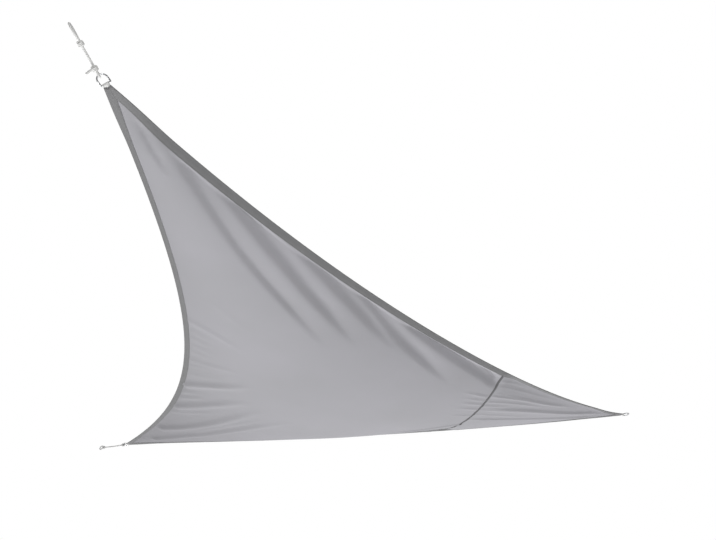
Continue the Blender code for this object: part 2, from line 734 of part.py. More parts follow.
def rope(corner, frame, material):
    settings = ropes[corner]
    far = frame["end"] + (barReach + ringLength) * frame["pull"]
    way = unit(np.array(settings["heading"])) if settings["heading"] else frame["pull"]
    normal = unit(frame["normal"] - np.dot(frame["normal"], way) * way)
    ringLoop(corner, far, way, normal, material)
    knotStart = far + knotReach * way
    knot("rope_" + corner + "_knot", knotStart, way, material)
    start = knotStart + (knotLength + gap) * way
    end = start + settings["length"] * way
    route = []
    for share in np.linspace(0, 1, 7):
        route.append(start + share * (end - start) + settings["sag"] * 4 * share * (1 - share) * down)
    wire("rope_" + corner, smoothRoute(route, 2.5 * 2 * ropeRadius), ropeRadius, material)
    knot("rope_" + corner + "_end_knot", end + gap * way, way, material)
    endEye(corner, end + (4 * gap + knotLength) * way, way, normal, material)
    if settings["tail"]:
        aside = np.array(settings["tail"])
        aside = unit(aside - np.dot(aside, way) * way)
        root = knotStart + 0.5 * knotLength * way + (knotRadius + gap) * aside
        points = [root + tailLength * (out * aside + droop * down) for out, droop in tailShape]
        wire("rope_" + corner + "_tail", smoothRoute(points, ropeStep), ropeRadius, material)


# ---- the whole sail ------------------------------------------------------------------------------
def build():
    clearScene()
    collection = bpy.data.collections.new(sailCollection)
    bpy.context.scene.collection.children.link(collection)
    cloth = finish("cloth", (0.42, 0.42, 0.44), 0.85)
    tape = finish("tab", (0.78, 0.78, 0.77), 0.8)
    web = finish("webbing", (0.17, 0.17, 0.18), 0.8)
    steel = finish("steel", (0.75, 0.76, 0.78), 0.22, 1.0)
    cord = finish("rope", (0.80, 0.79, 0.76), 0.85)
    panelMain(cloth)
    panelCorner(cloth)
    for name in edges:
        webbing(name, web)
    frames = {corner: cornerFrame(corner) for corner in corners}
    for corner, frame in frames.items():
        tab(corner, frame, tape)
        frames[corner] = turned(frame, corners[corner]["twist"])
        ring(corner, frames[corner], steel)
    for corner in ropes:
        rope(corner, frames[corner], cord)


build()
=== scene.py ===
import math
import random

import bpy
import numpy as np
from mathutils import Matrix, Vector


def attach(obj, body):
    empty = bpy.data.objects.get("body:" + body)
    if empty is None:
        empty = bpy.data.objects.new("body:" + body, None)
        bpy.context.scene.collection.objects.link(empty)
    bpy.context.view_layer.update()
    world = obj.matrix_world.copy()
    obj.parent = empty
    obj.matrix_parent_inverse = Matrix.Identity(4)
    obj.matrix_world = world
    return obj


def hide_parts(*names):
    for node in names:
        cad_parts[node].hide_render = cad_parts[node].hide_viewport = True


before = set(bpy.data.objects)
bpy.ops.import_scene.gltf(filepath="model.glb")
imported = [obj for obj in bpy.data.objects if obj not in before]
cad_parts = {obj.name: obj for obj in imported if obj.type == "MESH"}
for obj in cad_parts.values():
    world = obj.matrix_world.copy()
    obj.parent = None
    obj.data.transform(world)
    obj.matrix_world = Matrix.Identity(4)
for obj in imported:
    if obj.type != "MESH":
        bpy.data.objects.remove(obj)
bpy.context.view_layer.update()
bpy.ops.object.select_all(action="DESELECT")
print("frame loaded:", len(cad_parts), "nodes")

# The hung shape, in the solids' own sizes
shape = {
    "side": 3.62, "dropLow": 0.853, "dropRight": 0.746, "heading": math.radians(45.9),
    "bellyDepth": 0.15, "bellyRise": 2.6, "bellyFall": 7.0, "cornerFlat": 0.035, "edgeAim": 0.08,
    "seam": {"low_right": 0.652, "high_right": 0.673}, "lap": 0.012, "seamRamp": 0.016, "lapClear": 0.002,
    "hem": 0.028, "hemInset": 0.0008, "mitreGap": 0.0003, "mitreReach": 0.3, "bluntWidth": 0.025, "trim": 0.010,
    "clothThick": 0.001, "webThick": 0.001, "gap": 0.0003, "webGap": 0.00095,
}
edges = {
    "high_low": {"ends": ("high", "low"), "bow": 0.362, "lean": 0.167, "full": -0.10, "skew": -0.058,
                 "sag": 0.03},
    "low_right": {"ends": ("low", "right"), "bow": 0.096, "lean": 0.214, "full": -0.23, "skew": 0.46,
                  "sag": 0.07},
    "high_right": {"ends": ("high", "right"), "bow": 0.119, "lean": 0.095, "full": 0.19, "skew": 0.078,
                   "sag": 0.11},
}
# Guess: about where the corner's flat part lies, as (s, t)
corners = {
    "high": {"edges": ("high_low", "high_right"), "flat": 0.060, "blend": 0.25, "roll": 8, "twist": 28,
             "raise": 0.5, "guess": (0.02, 0.98)},
    "low": {"edges": ("low_right", "high_low"), "flat": 0.085, "blend": 0.25, "roll": 2, "twist": 8,
            "raise": 0.0, "guess": (0.02, 0.02)},
    "right": {"edges": ("low_right", "high_right"), "flat": 0.085, "blend": 0.25, "roll": -2, "twist": 8,
              "raise": 0.0, "guess": (0.97, 0.5)},
}
side, hem, gap = shape["side"], shape["hem"], shape["gap"]
clothThick, webThick = shape["clothThick"], shape["webThick"]
slant = math.sqrt(0.75)    # height of the triangle, in sides
down = np.array([0.0, 0.0, -1.0])


def unit(vectors):
    return vectors / np.linalg.norm(vectors, axis=-1, keepdims=True)


def smooth(value):
    held = np.clip(value, 0.0, 1.0)
    return held * held * (3 - 2 * held)


def pathLengths(points):
    return np.concatenate([[0], np.cumsum(np.linalg.norm(np.diff(points, axis=0), axis=1))])


def placesAt(points, lengths, wanted):
    return np.stack([np.interp(wanted, lengths, points[:, axis]) for axis in range(points.shape[1])], axis=1)


def cornerPlaces():
    drops = {"low": shape["dropLow"], "right": shape["dropRight"]}
    reach = {name: math.sqrt(side ** 2 - drop ** 2) for name, drop in drops.items()}
    rise = drops["right"] - drops["low"]
    turn = math.acos((reach["low"] ** 2 + reach["right"] ** 2 - side ** 2 + rise ** 2)
                     / (2 * reach["low"] * reach["right"]))
    heading = {"low": shape["heading"] - turn, "right": shape["heading"]}
    found = {name: (reach[name] * math.sin(heading[name]), reach[name] * math.cos(heading[name]), -drops[name])
             for name in drops}
    return {"high": np.zeros(3), **{name: np.array(spot) for name, spot in found.items()}}


place = cornerPlaces()
alongAxis = unit(place["right"])
inwardAxis = unit(place["low"] - np.dot(place["low"], alongAxis) * alongAxis)
flatCorner = {"high": np.zeros(2), "right": np.array([side, 0.0]), "low": np.array([side / 2, side * slant])}
flatMiddle = sum(flatCorner.values()) / 3


def inwardNormal(start, run):
    normal = np.stack([-run[..., 1], run[..., 0]], axis=-1)
    turn = np.sign(np.sum(normal * (flatMiddle - start), axis=-1, keepdims=True))
    return normal * turn


def bulge(share, edge):
    reach = 2 * share - 1
    uneven = 1 + edge["lean"] * reach + edge["full"] * reach ** 2 + edge["skew"] * reach ** 3
    return 4 * share * (1 - share) * uneven


def flatEdge(name, share):
    edge = edges[name]
    start, end = (flatCorner[corner] for corner in edge["ends"])
    share = np.asarray(share, float)
    run = (end - start) / side
    bow = (edge["bow"] * bulge(share, edge))[..., None]
    return start + share[..., None] * (end - start) + bow * inwardNormal(start, run)


def edgeSag(name, share):
    return edges[name]["sag"] * bulge(share, edges[name])


def flatPlace(s, t):
    # The cloth laid flat: s runs from the high-low edge to the right corner, t from low-right to high-right
    chord = flatCorner["low"] + t[..., None] * (flatCorner["high"] - flatCorner["low"])
    ruled = (1 - t)[..., None] * flatEdge("low_right", s) + t[..., None] * flatEdge("high_right", s)
    return ruled + ((1 - s) ** 2)[..., None] * (flatEdge("high_low", 1 - t) - chord)


def paramsAt(target, guess):
    # The (s, t) pairs whose places on the flat cloth are the targets
    target = np.atleast_2d(target)
    now = np.array(np.broadcast_to(guess, target.shape), float)
    step = 1e-5
    for _ in range(12):
        here = flatPlace(*now.T)
        slopes = [(flatPlace(*(now + step * axis).T) - here) / step for axis in np.eye(2)]
        now += np.linalg.solve(np.stack(slopes, axis=-1), (target - here)[..., None])[..., 0]
    return now


# For each edge: the corner that its folds are measured from, and how far from the webbing they reach full
# depth. A row has the route as (along, inward from the edge's chord), the width, how many times wider the far
# flank is, the depth (+ hangs down), and the shares of the length over which the fold fades in and out.
folds = {
    "high_right": {"from": "high", "ramp": 0.036, "rows": [
        (((0.15, 0.05), (0.22, 0.086), (0.32, 0.139), (0.37, 0.165)), 0.014, 1.6, -0.0085, 0.2, 0.4),
        (((0.27, 0.044), (0.36, 0.076), (0.48, 0.131), (0.61, 0.191), (0.75, 0.252), (0.94, 0.321),
          (1.17, 0.394), (1.51, 0.5)), 0.02, 2.8, -0.013, 0.12, 0.35),
        (((0.44, 0.06), (0.53, 0.076), (0.65, 0.105), (0.81, 0.158), (0.96, 0.202), (1.12, 0.254),
          (1.31, 0.308), (1.61, 0.395)), 0.02, 2.6, -0.0156, 0.15, 0.35),
        (((0.9, 0.107), (1.07, 0.13), (1.22, 0.165), (1.38, 0.203), (1.58, 0.252), (1.78, 0.296)), 0.02, 2,
          -0.013, 0.15, 0.4),
        (((1.22, 0.112), (1.36, 0.141), (1.55, 0.191), (1.73, 0.239), (1.96, 0.283), (2.26, 0.338)), 0.02,
          2.4, -0.0143, 0.15, 0.4),
        (((1.6, 0.136), (1.79, 0.152), (1.95, 0.165), (2.15, 0.18), (2.38, 0.198), (2.52, 0.222)), 0.021, 1.6,
          -0.0175, 0.12, 0.12),
        (((2.12, 0.124), (2.24, 0.142), (2.33, 0.159), (2.46, 0.186)), 0.016, 1.6, -0.0091, 0.25, 0.2),
    ]},
    "high_low": {"from": "low", "ramp": 0.030, "rows": [
        (((2.58, 0.42), (2.48, 0.56), (2.41, 0.703)), 0.03, 1, 0.0019, 0.3, 0.5),
        (((2.19, 0.345), (2.21, 0.375), (2.23, 0.467), (2.22, 0.555), (2.18, 0.699)), 0.024, 1, 0.0046,
          0.06, 0.6),
        (((2.1, 0.36), (2.12, 0.43), (2.15, 0.541)), 0.014, 1, 0.0024, 0.1, 0.6),
        (((2.01, 0.36), (2.05, 0.448), (2.08, 0.54)), 0.015, 1, 0.0028, 0.1, 0.6),
        (((1.93, 0.36), (1.97, 0.455), (2.01, 0.555)), 0.014, 1, 0.0026, 0.1, 0.6),
        (((1.86, 0.365), (1.9, 0.46), (1.93, 0.55)), 0.014, 1, 0.0026, 0.1, 0.6),
        (((1.74, 0.37), (1.8, 0.465), (1.86, 0.558), (1.95, 0.708)), 0.018, 1, 0.0036, 0.06, 0.6),
        (((1.66, 0.375), (1.75, 0.475), (1.84, 0.593)), 0.013, 1, 0.0022, 0.1, 0.6),
        (((1.54, 0.37), (1.63, 0.475), (1.74, 0.58)), 0.013, 1, 0.0022, 0.1, 0.6),
        (((1.38, 0.37), (1.59, 0.553), (1.73, 0.68), (1.86, 0.782)), 0.024, 1, 0.0112, 0.02, 0.6),
        (((1.27, 0.36), (1.41, 0.5)), 0.018, 1, 0.0046, 0.05, 0.6),
        (((1.17, 0.355), (1.38, 0.54)), 0.018, 1, 0.005, 0.05, 0.6),
        (((1, 0.335), (1.17, 0.468), (1.34, 0.59), (1.5, 0.71), (1.61, 0.817)), 0.028, 1, 0.011, 0.03, 0.5),
        (((0.9, 0.318), (1.07, 0.48), (1.27, 0.651)), 0.018, 1, 0.004, 0.05, 0.6),
        (((0.5, 0.23), (0.66, 0.372), (0.81, 0.482), (0.99, 0.592), (1.19, 0.694), (1.4, 0.799),
          (1.61, 0.919)), 0.03, 1, 0.014, 0.04, 0.5),
        (((0.23, 0.171), (0.35, 0.29), (0.53, 0.43), (0.7, 0.56), (0.93, 0.705), (1.19, 0.862), (1.51, 1.09)),
          0.03, 1, 0.0136, 0.06, 0.4),
        (((0.64, 0.46), (1.05, 0.69), (1.42, 0.906)), 0.02, 1, 0.0048, 0.3, 0.4),
    ]},
    "low_right": {"from": "low", "ramp": 0.010, "rows": [
        (((2.89, 0.91), (2.99, 0.786), (3.1, 0.646)), 0.01, 1, 0.0014, 0.03, 0.6),
        (((2.88, 0.855), (2.99, 0.725), (3.12, 0.561), (3.27, 0.365)), 0.009, 1, 0.0012, 0.03, 0.6),
        (((2.85, 0.8), (2.98, 0.66), (3.12, 0.5)), 0.008, 1, 0.001, 0.03, 0.6),
        (((2.83, 0.778), (2.9, 0.712), (3, 0.618), (3.12, 0.482), (3.3, 0.3)), 0.012, 1, 0.004, 0.02, 0.3),
        (((2.8, 0.722), (2.98, 0.575), (3.14, 0.415)), 0.011, 1, 0.0026, 0.03, 0.5),
        (((2.76, 0.69), (2.93, 0.57)), 0.013, 1, 0.003, 0.03, 0.6),
        (((2.73, 0.668), (2.86, 0.57), (3.03, 0.441), (3.27, 0.236), (3.5, 0.078)), 0.02, 1, 0.0084,
          0.25, 0.02),
        (((2.74, 0.64), (3, 0.44), (3.2, 0.29)), 0.011, 1, 0.0026, 0.03, 0.5),
        (((2.7, 0.59), (2.96, 0.385), (3.18, 0.235)), 0.011, 1, 0.0026, 0.03, 0.5),
        (((2.62, 0.53), (3.02, 0.29), (3.29, 0.125), (3.46, 0.058)), 0.018, 1, 0.007, 0.15, 0.03),
        (((2.67, 0.925), (2.81, 0.782)), 0.013, 1, 0.0034, 0.6, 0.03),
        (((2.66, 0.86), (2.79, 0.737)), 0.012, 1, 0.0024, 0.6, 0.03),
        (((2.64, 0.8), (2.77, 0.7)), 0.013, 1, 0.0036, 0.6, 0.03),
        (((2.6, 0.74), (2.74, 0.648)), 0.013, 1, 0.0036, 0.6, 0.03),
        (((2.56, 0.64), (2.69, 0.56)), 0.013, 1, 0.003, 0.6, 0.03),
        (((2.12, 0.392), (2.32, 0.395), (2.42, 0.408), (2.51, 0.418), (2.63, 0.431)), 0.012, 1, 0.006,
          0.3, 0.04),
    ]},
}
lifts = [
    {"edge": "high_right", "rise": 0.665, "full": 0.70, "hold": 0.92, "end": 0.975, "height": 0.014,
     "crest": 0.05},
    {"edge": "high_low", "rise": 0.72, "full": 0.82, "hold": 0.93, "end": 0.97, "height": 0.010,
     "crest": 0.05},
]
# Beside the seam the low-right edge is tucked: the cloth rises steeply from it to a crease
tuck = {"rise": 0.44, "full": 0.655, "hold": 0.655, "end": 0.70, "height": 0.026, "near": 0.012, "far": 0.045,
        "reach": 0.30}


def routePoints(points, count):
    # A smooth curve through a few given points
    points = np.array(points, float)
    ends = np.vstack([2 * points[0] - points[1], points, 2 * points[-1] - points[-2]])
    fine = []
    for before, start, end, after in zip(ends, ends[1:], ends[2:], ends[3:]):
        for share in np.arange(24) / 24:
            pulls = (end - before) / 2, (after - start) / 2
            fine.append(start + (3 * share ** 2 - 2 * share ** 3) * (end - start)
                        + (share ** 3 - 2 * share ** 2 + share) * pulls[0]
                        + (share ** 3 - share ** 2) * pulls[1])
    fine = np.array(fine + [points[-1]])
    lengths = pathLengths(fine)
    return placesAt(fine, lengths, np.linspace(0, lengths[-1], count))


def foldLine(edge, first, points):
    last = next(corner for corner in edges[edge]["ends"] if corner != first)
    run = (flatCorner[last] - flatCorner[first]) / side
    normal = inwardNormal(flatCorner[first], run)
    return routePoints([flatCorner[first] + along * run + inward * normal for along, inward in points], 48)


def foldDepth(flat, room):
    # Soft troughs and ridges along listed routes
    total = np.zeros(flat.shape[:-1])
    places, rooms = flat.reshape(-1, 2), room.reshape(-1)
    for edge, group in folds.items():
        for points, width, spread, depth, fadeIn, fadeOut in group["rows"]:
            line = foldLine(edge, group["from"], points)
            reach = 3 * width * max(1, spread)
            beside = (places > line.min(0) - reach) & (places < line.max(0) + reach)
            near = np.flatnonzero(np.all(beside, axis=1))
            if not len(near):
                continue
            ways = unit(np.gradient(line, axis=0))
            offset = places[near, None] - line
            best = (offset ** 2).sum(2).argmin(1)
            offset, way = offset[np.arange(len(near)), best], ways[best]
            along = (best + np.sum(offset * way, axis=1) / np.linalg.norm(line[1] - line[0])) / (len(line) - 1)
            across = offset[:, 1] * way[:, 0] - offset[:, 0] * way[:, 1]
            fade = smooth(along / fadeIn) * smooth((1 - along) / fadeOut)
            fade *= smooth((rooms[near] - hem) / group["ramp"])
            flank = np.where(across > 0, width, width * spread)
            total.reshape(-1)[near] += depth * fade * np.exp(-(across / flank) ** 2)
    return total


def span(share, table):
    return smooth((share - table["rise"]) / (table["full"] - table["rise"])) \
        * smooth((table["end"] - share) / (table["end"] - table["hold"]))


def liftHeight(s, t):
    total = np.zeros(np.broadcast(s, t).shape)
    for lift in lifts:
        share, away = (s, (1 - t) * (1 - s)) if lift["edge"] == "high_right" else (1 - t, s)
        near = away * side * slant / lift["crest"]
        total += lift["height"] * span(share, lift) * near * np.exp(1 - near)
    return total


def tuckHeight(s, away):
    share = span(s, tuck)
    crease = tuck["near"] + (tuck["far"] - tuck["near"]) * share
    beyond = 1 - smooth((away - crease) / tuck["reach"])
    return tuck["height"] * share * np.where(away < crease, away / crease, beyond)


def hangDepth(s, t, flat, fine):
    sags = (1 - t) * edgeSag("low_right", s) + t * edgeSag("high_right", s)
    sags = sags + (1 - s) ** 2 * edgeSag("high_low", 1 - t)
    reach = np.maximum(1 - (1 - s) * t, 1e-6)
    across = np.clip(s / reach, 0, 1)
    rising = 1 - np.abs(1 - reach) ** shape["bellyRise"]
    belly = shape["bellyDepth"] * rising * (1 - reach ** shape["bellyFall"])
    belly = belly * 4 * across * (1 - across) * (1 - np.exp(-(reach / shape["cornerFlat"]) ** 2))
    width = (1 - s) * side * slant
    room = np.minimum(np.minimum(t * width, (1 - t) * width), s * side * slant)
    depth = sags + belly - tuckHeight(s, t * width) - liftHeight(s, t)
    return depth + foldDepth(flat, room) if fine else depth


def cornerLines(name):
    ways = []
    for edge in corners[name]["edges"]:
        share = shape["edgeAim"] / side
        first = edges[edge]["ends"][0] == name
        ways.append(unit(flatEdge(edge, share if first else 1 - share) - flatCorner[name]))
    middle = unit(ways[0] + ways[1])
    half = math.acos(float(np.dot(ways[0], middle)))
    return {"middle": middle, "toSecond": unit(ways[1] - ways[0]), "half": half}


lines = {name: cornerLines(name) for name in corners}


def curvedPoint(s, t, fine=False):
    flat = flatPlace(s, t)
    depth = hangDepth(s, t, flat, fine)
    return place["high"] + flat[..., :1] * alongAxis + flat[..., 1:] * inwardAxis + depth[..., None] * down


def cornerPlane(name):
    line, corner = lines[name], corners[name]
    spot = flatCorner[name] + corner["flat"] * line["middle"]
    step = 0.005 * line["toSecond"]
    params = paramsAt(np.array([spot, spot - step, spot + step]), corner["guess"])
    here, left, right = curvedPoint(params[:, 0], params[:, 1])
    angle = math.radians(corner["roll"])
    lift = corner["raise"] * math.sin(angle) * math.tan(line["half"]) * corner["flat"]
    into = unit(here - lift * down - place[name])
    across = unit(right - left - np.dot(right - left, into) * into)
    normal = np.cross(into, across)
    across = math.cos(angle) * across + math.sin(angle) * normal * np.sign(normal[2])
    normal = np.cross(into, across)
    return {"into": into, "across": across, "normal": normal * np.sign(normal[2])}


ringSize = {"wire": 0.0025, "halfWidth": 0.0175, "length": 0.036, "bend": 0.003, "shift": 0.0022,
            "reach": 0.0085}
planes = {name: cornerPlane(name) for name in corners}
bluntBack = {name: shape["bluntWidth"] / 2 / math.tan(lines[name]["half"]) for name in corners}
pullReach = ringSize["reach"] + ringSize["length"] - ringSize["wire"] - bluntBack["high"]
pullPoint = pullReach * -planes["high"]["into"]
place = {name: spot - pullPoint for name, spot in place.items()}


def sailPoint(s, t, fine=False):
    point = curvedPoint(s, t, fine)
    flat = flatPlace(s, t)
    for name, patch in planes.items():
        offset = flat - flatCorner[name]
        blend = corners[name]["blend"]
        share = smooth((corners[name]["flat"] + blend - np.linalg.norm(offset, axis=-1)) / blend)
        into, across = offset @ lines[name]["middle"], offset @ lines[name]["toSecond"]
        plane = place[name] + into[..., None] * patch["into"] + across[..., None] * patch["across"]
        point = point + share[..., None] * (plane - point)
    return point


def edgeParams(name, share):
    zero = np.zeros_like(share)
    return {"high_low": (zero, 1 - share), "low_right": (share, zero), "high_right": (share, zero + 1)}[name]


def edgeFrame(name, share):
    here = flatEdge(name, share)
    return here, inwardNormal(here, unit(flatEdge(name, share + 1e-4) - flatEdge(name, share - 1e-4)))


def inwardParams(name, share, distance):
    share = np.atleast_1d(np.asarray(share, float))
    here, inward = edgeFrame(name, share)
    guess = np.stack(edgeParams(name, share), axis=-1)
    return paramsAt(here + np.broadcast_to(distance, share.shape)[:, None] * inward, guess)


def shareAt(edge, corner, distance):
    away = distance / side
    first = edges[edge]["ends"][0] == corner
    for _ in range(6):
        spot = flatEdge(edge, away if first else 1 - away)
        away *= distance / float(np.linalg.norm(spot - flatCorner[corner]))
    return away if first else 1 - away


def innerCorner(corner):
    # The shares of both edges where the webbings' inner lines meet
    names = corners[corner]["edges"]
    shares = np.array([shareAt(name, corner, hem / math.tan(lines[corner]["half"])) for name in names])

    def miss(values):
        (here, inward), (there, outward) = (edgeFrame(name, share) for name, share in zip(names, values))
        return here + hem * inward - there - hem * outward

    for _ in range(8):
        now = miss(shares)
        slopes = np.stack([(miss(shares + 1e-5 * np.eye(2)[axis]) - now) / 1e-5 for axis in range(2)], 1)
        shares = shares - np.linalg.solve(slopes, now)
    return dict(zip(names, (float(share) for share in shares)))


feet = {corner: innerCorner(corner) for corner in corners}
print("sail shape ready")

view = {"place": (0.8302, -1.7438, -1.2981), "tilt": 110.0, "lens": 32.65, "sensor": 36.0}
bpy.ops.object.camera_add(location=view["place"], rotation=(math.radians(view["tilt"]), 0, 0))
camera = bpy.context.object
camera.name = "camera"
camera.data.lens = view["lens"]
camera.data.sensor_width = view["sensor"]
camera.data.clip_end = 200
bpy.context.scene.camera = camera
print("camera placed")


class Value:
    # A socket that takes part in sums
    def __init__(self, finish, socket):
        self.finish, self.socket = finish, socket

    def maths(self, operation, *others):
        return self.finish.node("Math", dict(enumerate((self, *others))), operation=operation)

    def __add__(self, other): return self.maths("ADD", other)
    def __sub__(self, other): return self.maths("SUBTRACT", other)
    def __rsub__(self, other): return self.finish.node("Math", {0: other, 1: self}, operation="SUBTRACT")
    def __mul__(self, other): return self.maths("MULTIPLY", other)
    __radd__, __rmul__ = __add__, __mul__
    def sine(self): return self.maths("SINE")
    def wave(self, pitch): return (self * (2 * math.pi / pitch)).sine()
    def raised(self): return self * 0.5 + 0.5
    def clamped(self): return self.finish.node("Clamp", {"Value": self})


class Finish:
    def __init__(self, name):
        self.material = bpy.data.materials.new(name)
        self.material.use_nodes = True
        self.tree = self.material.node_tree
        self.shader = self.tree.nodes["Principled BSDF"]

    def feed(self, socket, value):
        if isinstance(value, Value):
            self.tree.links.new(value.socket, socket)
        elif hasattr(value, "__len__") and len(value) == 3 and socket.type == "RGBA":
            socket.default_value = (*value, 1.0)
        else:
            socket.default_value = value

    def node(self, kind, values=None, out=0, stops=None, **settings):
        item = self.tree.nodes.new("ShaderNode" + kind)
        for name, setting in settings.items():
            setattr(item, name, setting)
        for index, (spot, tone) in enumerate(stops or ()):
            item.color_ramp.elements[index].position = spot
            item.color_ramp.elements[index].color = (tone, tone, tone, 1.0)
        for name, value in (values or {}).items():
            self.feed(item.inputs[name], value)
        return Value(self, item.outputs[out])

    def uv(self, name):
        parts = self.node("UVMap", uv_map=name)
        return self.node("SeparateXYZ", {0: parts}), self.node("SeparateXYZ", {0: parts}, out=1), parts

    def noise(self, vector, scale, detail=3.0, roughness=0.5):
        sockets = {"Vector": vector, "Scale": scale, "Detail": detail, "Roughness": roughness}
        return self.node("TexNoise", sockets)

    def grain(self, vector, scales, detail):
        # Noise stretched along the axes
        return self.noise(self.node("Mapping", {0: vector, 3: scales}), 1.0, detail)

    def place(self):
        return self.node("TexCoord", out=3)

    def mask(self, name):
        return self.node("Attribute", attribute_name=name, out=2)

    def blend(self, share, first, second):
        return self.node("Mix", {0: share, 6: first, 7: second}, out=2, data_type="RGBA")

    def finished(self, colour, roughness, height, distance, strength, constants=None):
        made = self.node("Bump", {"Height": height, "Distance": distance, "Strength": strength})
        values = {"Base Color": colour, "Roughness": roughness, "Normal": made, **(constants or {})}
        for name, value in values.items():
            self.feed(self.shader.inputs[name], value)
        return self.material


def clothFinish():
    # The last two tones are painted shade: towards the far corners, and on the seam's doubled lap
    tones = {"light": (0.436, 0.430, 0.462), "dark": (0.412, 0.408, 0.434), "thread": (0.33, 0.33, 0.345),
             "paintedCornerShade": (0.305, 0.300, 0.322), "paintedLapShade": (0.165, 0.165, 0.170)}
    weave = 0.0016
    made = Finish("sail_cloth")
    u, v, flat = made.uv("cloth")
    thread = (u.wave(weave) * v.wave(weave)).raised()
    slub = made.grain(flat, (60.0, 900.0, 1.0), 2.0)
    patch = made.node("ValToRGB", {0: made.noise(flat, 1.7, 2.0)}, stops=((0.35, 0.0), (0.65, 1.0)))
    tone = made.blend(patch, tones["dark"], tones["light"])
    tone = made.blend((thread * 0.10 + slub * 0.14).clamped(), tone, tones["thread"])
    # Painted shade: the cloth's colour darkens towards the two far corners
    tone = made.blend(made.mask("paintedCornerShade"), tone, tones["paintedCornerShade"])
    # Painted shade: the seam's doubled lap is coloured darker, as two layers of cloth let less light through
    tone = made.blend(made.mask("paintedLapShade"), tone, tones["paintedLapShade"])
    height = thread * 0.12 + slub * 0.2 + made.noise(flat, 18.0, 4.0, 0.6) * 0.9
    return made.finished(tone, 0.78 + 0.1 * slub, height, 0.0012, 0.5,
                         {"Specular IOR Level": 0.25, "Sheen Weight": 0.06, "Sheen Roughness": 0.5})


def webbingFinish():
    made = Finish("edge_webbing")
    u, v, flat = made.uv("webbing")
    rib = v.wave(0.0024).raised()
    twill = ((u * 520.0 + (v * 420.0).maths("FRACT") * 2.0) * math.pi).sine().raised()
    wear = made.noise(flat, 9.0)
    tone = made.blend((rib * 0.25 + twill * 0.25).clamped(), (0.240, 0.240, 0.244), (0.202, 0.202, 0.207))
    tone = made.blend((wear - 0.5).clamped() * 0.9, tone, (0.285, 0.285, 0.287))
    # Painted highlight: the low-right webbing is coloured lighter beside the seam
    tone = made.blend(made.mask("paintedHighlight"), tone, (0.34, 0.34, 0.35))
    return made.finished(tone, 0.74 + 0.12 * wear, rib * 0.6 + twill * 0.5, 0.0003, 0.6,
                         {"Specular IOR Level": 0.3})


def tapeFinish():
    made = Finish("tab_tape")
    u, v, flat = made.uv("tape")
    rib, pick = v.wave(0.0022).raised(), u.wave(0.0016).raised()
    shade = (rib * pick * 0.6 + made.noise(flat, 60.0) * 0.25).clamped()
    tone = made.blend(shade, (0.80, 0.80, 0.79), (0.66, 0.66, 0.65))
    return made.finished(tone, 0.7 + 0.12 * pick, rib * 0.6 + pick * 0.4, 0.0003, 0.6)


def ropeFinish():
    made = Finish("polyester_rope")
    u, v, flat = made.uv("rope")
    yarn = ((u * 1500.0 + v * 9.0) * math.pi).sine().raised()
    fuzz, dust = (made.noise(made.place(), scale, 2.0) for scale in (600.0, 25.0))
    tone = made.blend((yarn * 0.35 + fuzz * 0.3).clamped(), (0.93, 0.93, 0.92), (0.85, 0.85, 0.84))
    # Painted shade: the grooves between the strands are coloured darker
    tone = made.blend((made.mask("groove") * 0.6).clamped(), tone, (0.74, 0.74, 0.72))
    tone = made.blend((dust - 0.45).clamped(), tone, (0.86, 0.85, 0.83))
    return made.finished(tone, 0.75 + 0.15 * fuzz, yarn * 0.7 + fuzz * 0.5, 0.0004, 0.6)


def steelFinish():
    made = Finish("stainless_steel")
    brush, smear = made.grain(made.place(), (900.0, 160.0, 500.0), 3.0), made.noise(made.place(), 70.0)
    tone = made.blend(smear, (0.80, 0.81, 0.82), (0.66, 0.67, 0.69))
    return made.finished(tone, 0.16 + 0.12 * brush + 0.10 * smear, brush, 0.0001, 0.3, {"Metallic": 1.0})


def threadFinish(name, tone, shade):
    made = Finish(name)
    ply = made.grain(made.place(), (900.0, 900.0, 2600.0), 2.0)
    return made.finished(made.blend(ply, tone, shade), 0.55 + 0.2 * ply, ply, 0.0002, 0.5)


finishes = {
    "cloth": clothFinish(), "webbing": webbingFinish(), "tape": tapeFinish(), "rope": ropeFinish(),
    "steel": steelFinish(),
    "darkThread": threadFinish("dark_thread", (0.10, 0.10, 0.105), (0.06, 0.06, 0.065)),
    "greyThread": threadFinish("grey_thread", (0.22, 0.22, 0.225), (0.15, 0.15, 0.155)),
}
print("materials made:", len(finishes))


def meshPiece(name, points, faces, finish, uvs=None, masks=None):
    # The UV map has the finish's name
    mesh = bpy.data.meshes.new(name)
    mesh.from_pydata([tuple(point) for point in points], [], [tuple(face) for face in faces])
    loops = np.empty(len(mesh.loops), int)
    mesh.loops.foreach_get("vertex_index", loops)
    if uvs is not None:
        layer = mesh.uv_layers.new(name=finish)
        layer.data.foreach_set("uv", np.asarray(uvs, np.float32)[loops].ravel())
    for maskName, values in (masks or {}).items():
        mask = mesh.attributes.new(maskName, "FLOAT", "POINT")
        mask.data.foreach_set("value", np.asarray(values, np.float32).ravel())
    mesh.materials.append(finishes[finish])
    mesh.shade_smooth()
    piece = bpy.data.objects.new(name, mesh)
    bpy.context.scene.collection.objects.link(piece)
    return piece


def gridFaces(rows, columns, closed=False):
    start = np.arange(rows - 1)[:, None] * columns
    here = np.arange(columns if closed else columns - 1)
    after = (here + 1) % columns
    turns = start + here, start + after, start + columns + after, start + columns + here
    return np.stack(turns, axis=-1).reshape(-1, 4)


def thickPiece(name, rows, finish, uvs, masks, thickness, even=False):
    # A grid of points, given its thickness
    piece = meshPiece(name, rows.reshape(-1, 3), gridFaces(*rows.shape[:2]), finish, uvs.reshape(-1, 2), masks)
    bpy.ops.object.select_all(action="DESELECT")
    piece.select_set(True)
    bpy.context.view_layer.objects.active = piece
    item = piece.modifiers.new("solidify", "SOLIDIFY")
    item.thickness, item.offset, item.use_even_offset = thickness, 0.0, even
    bpy.ops.object.modifier_apply(modifier=item.name)
    return piece


def ride(piece, *nodes, slot=None):
    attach(piece, "root")
    if nodes:
        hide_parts(*nodes)
    return piece


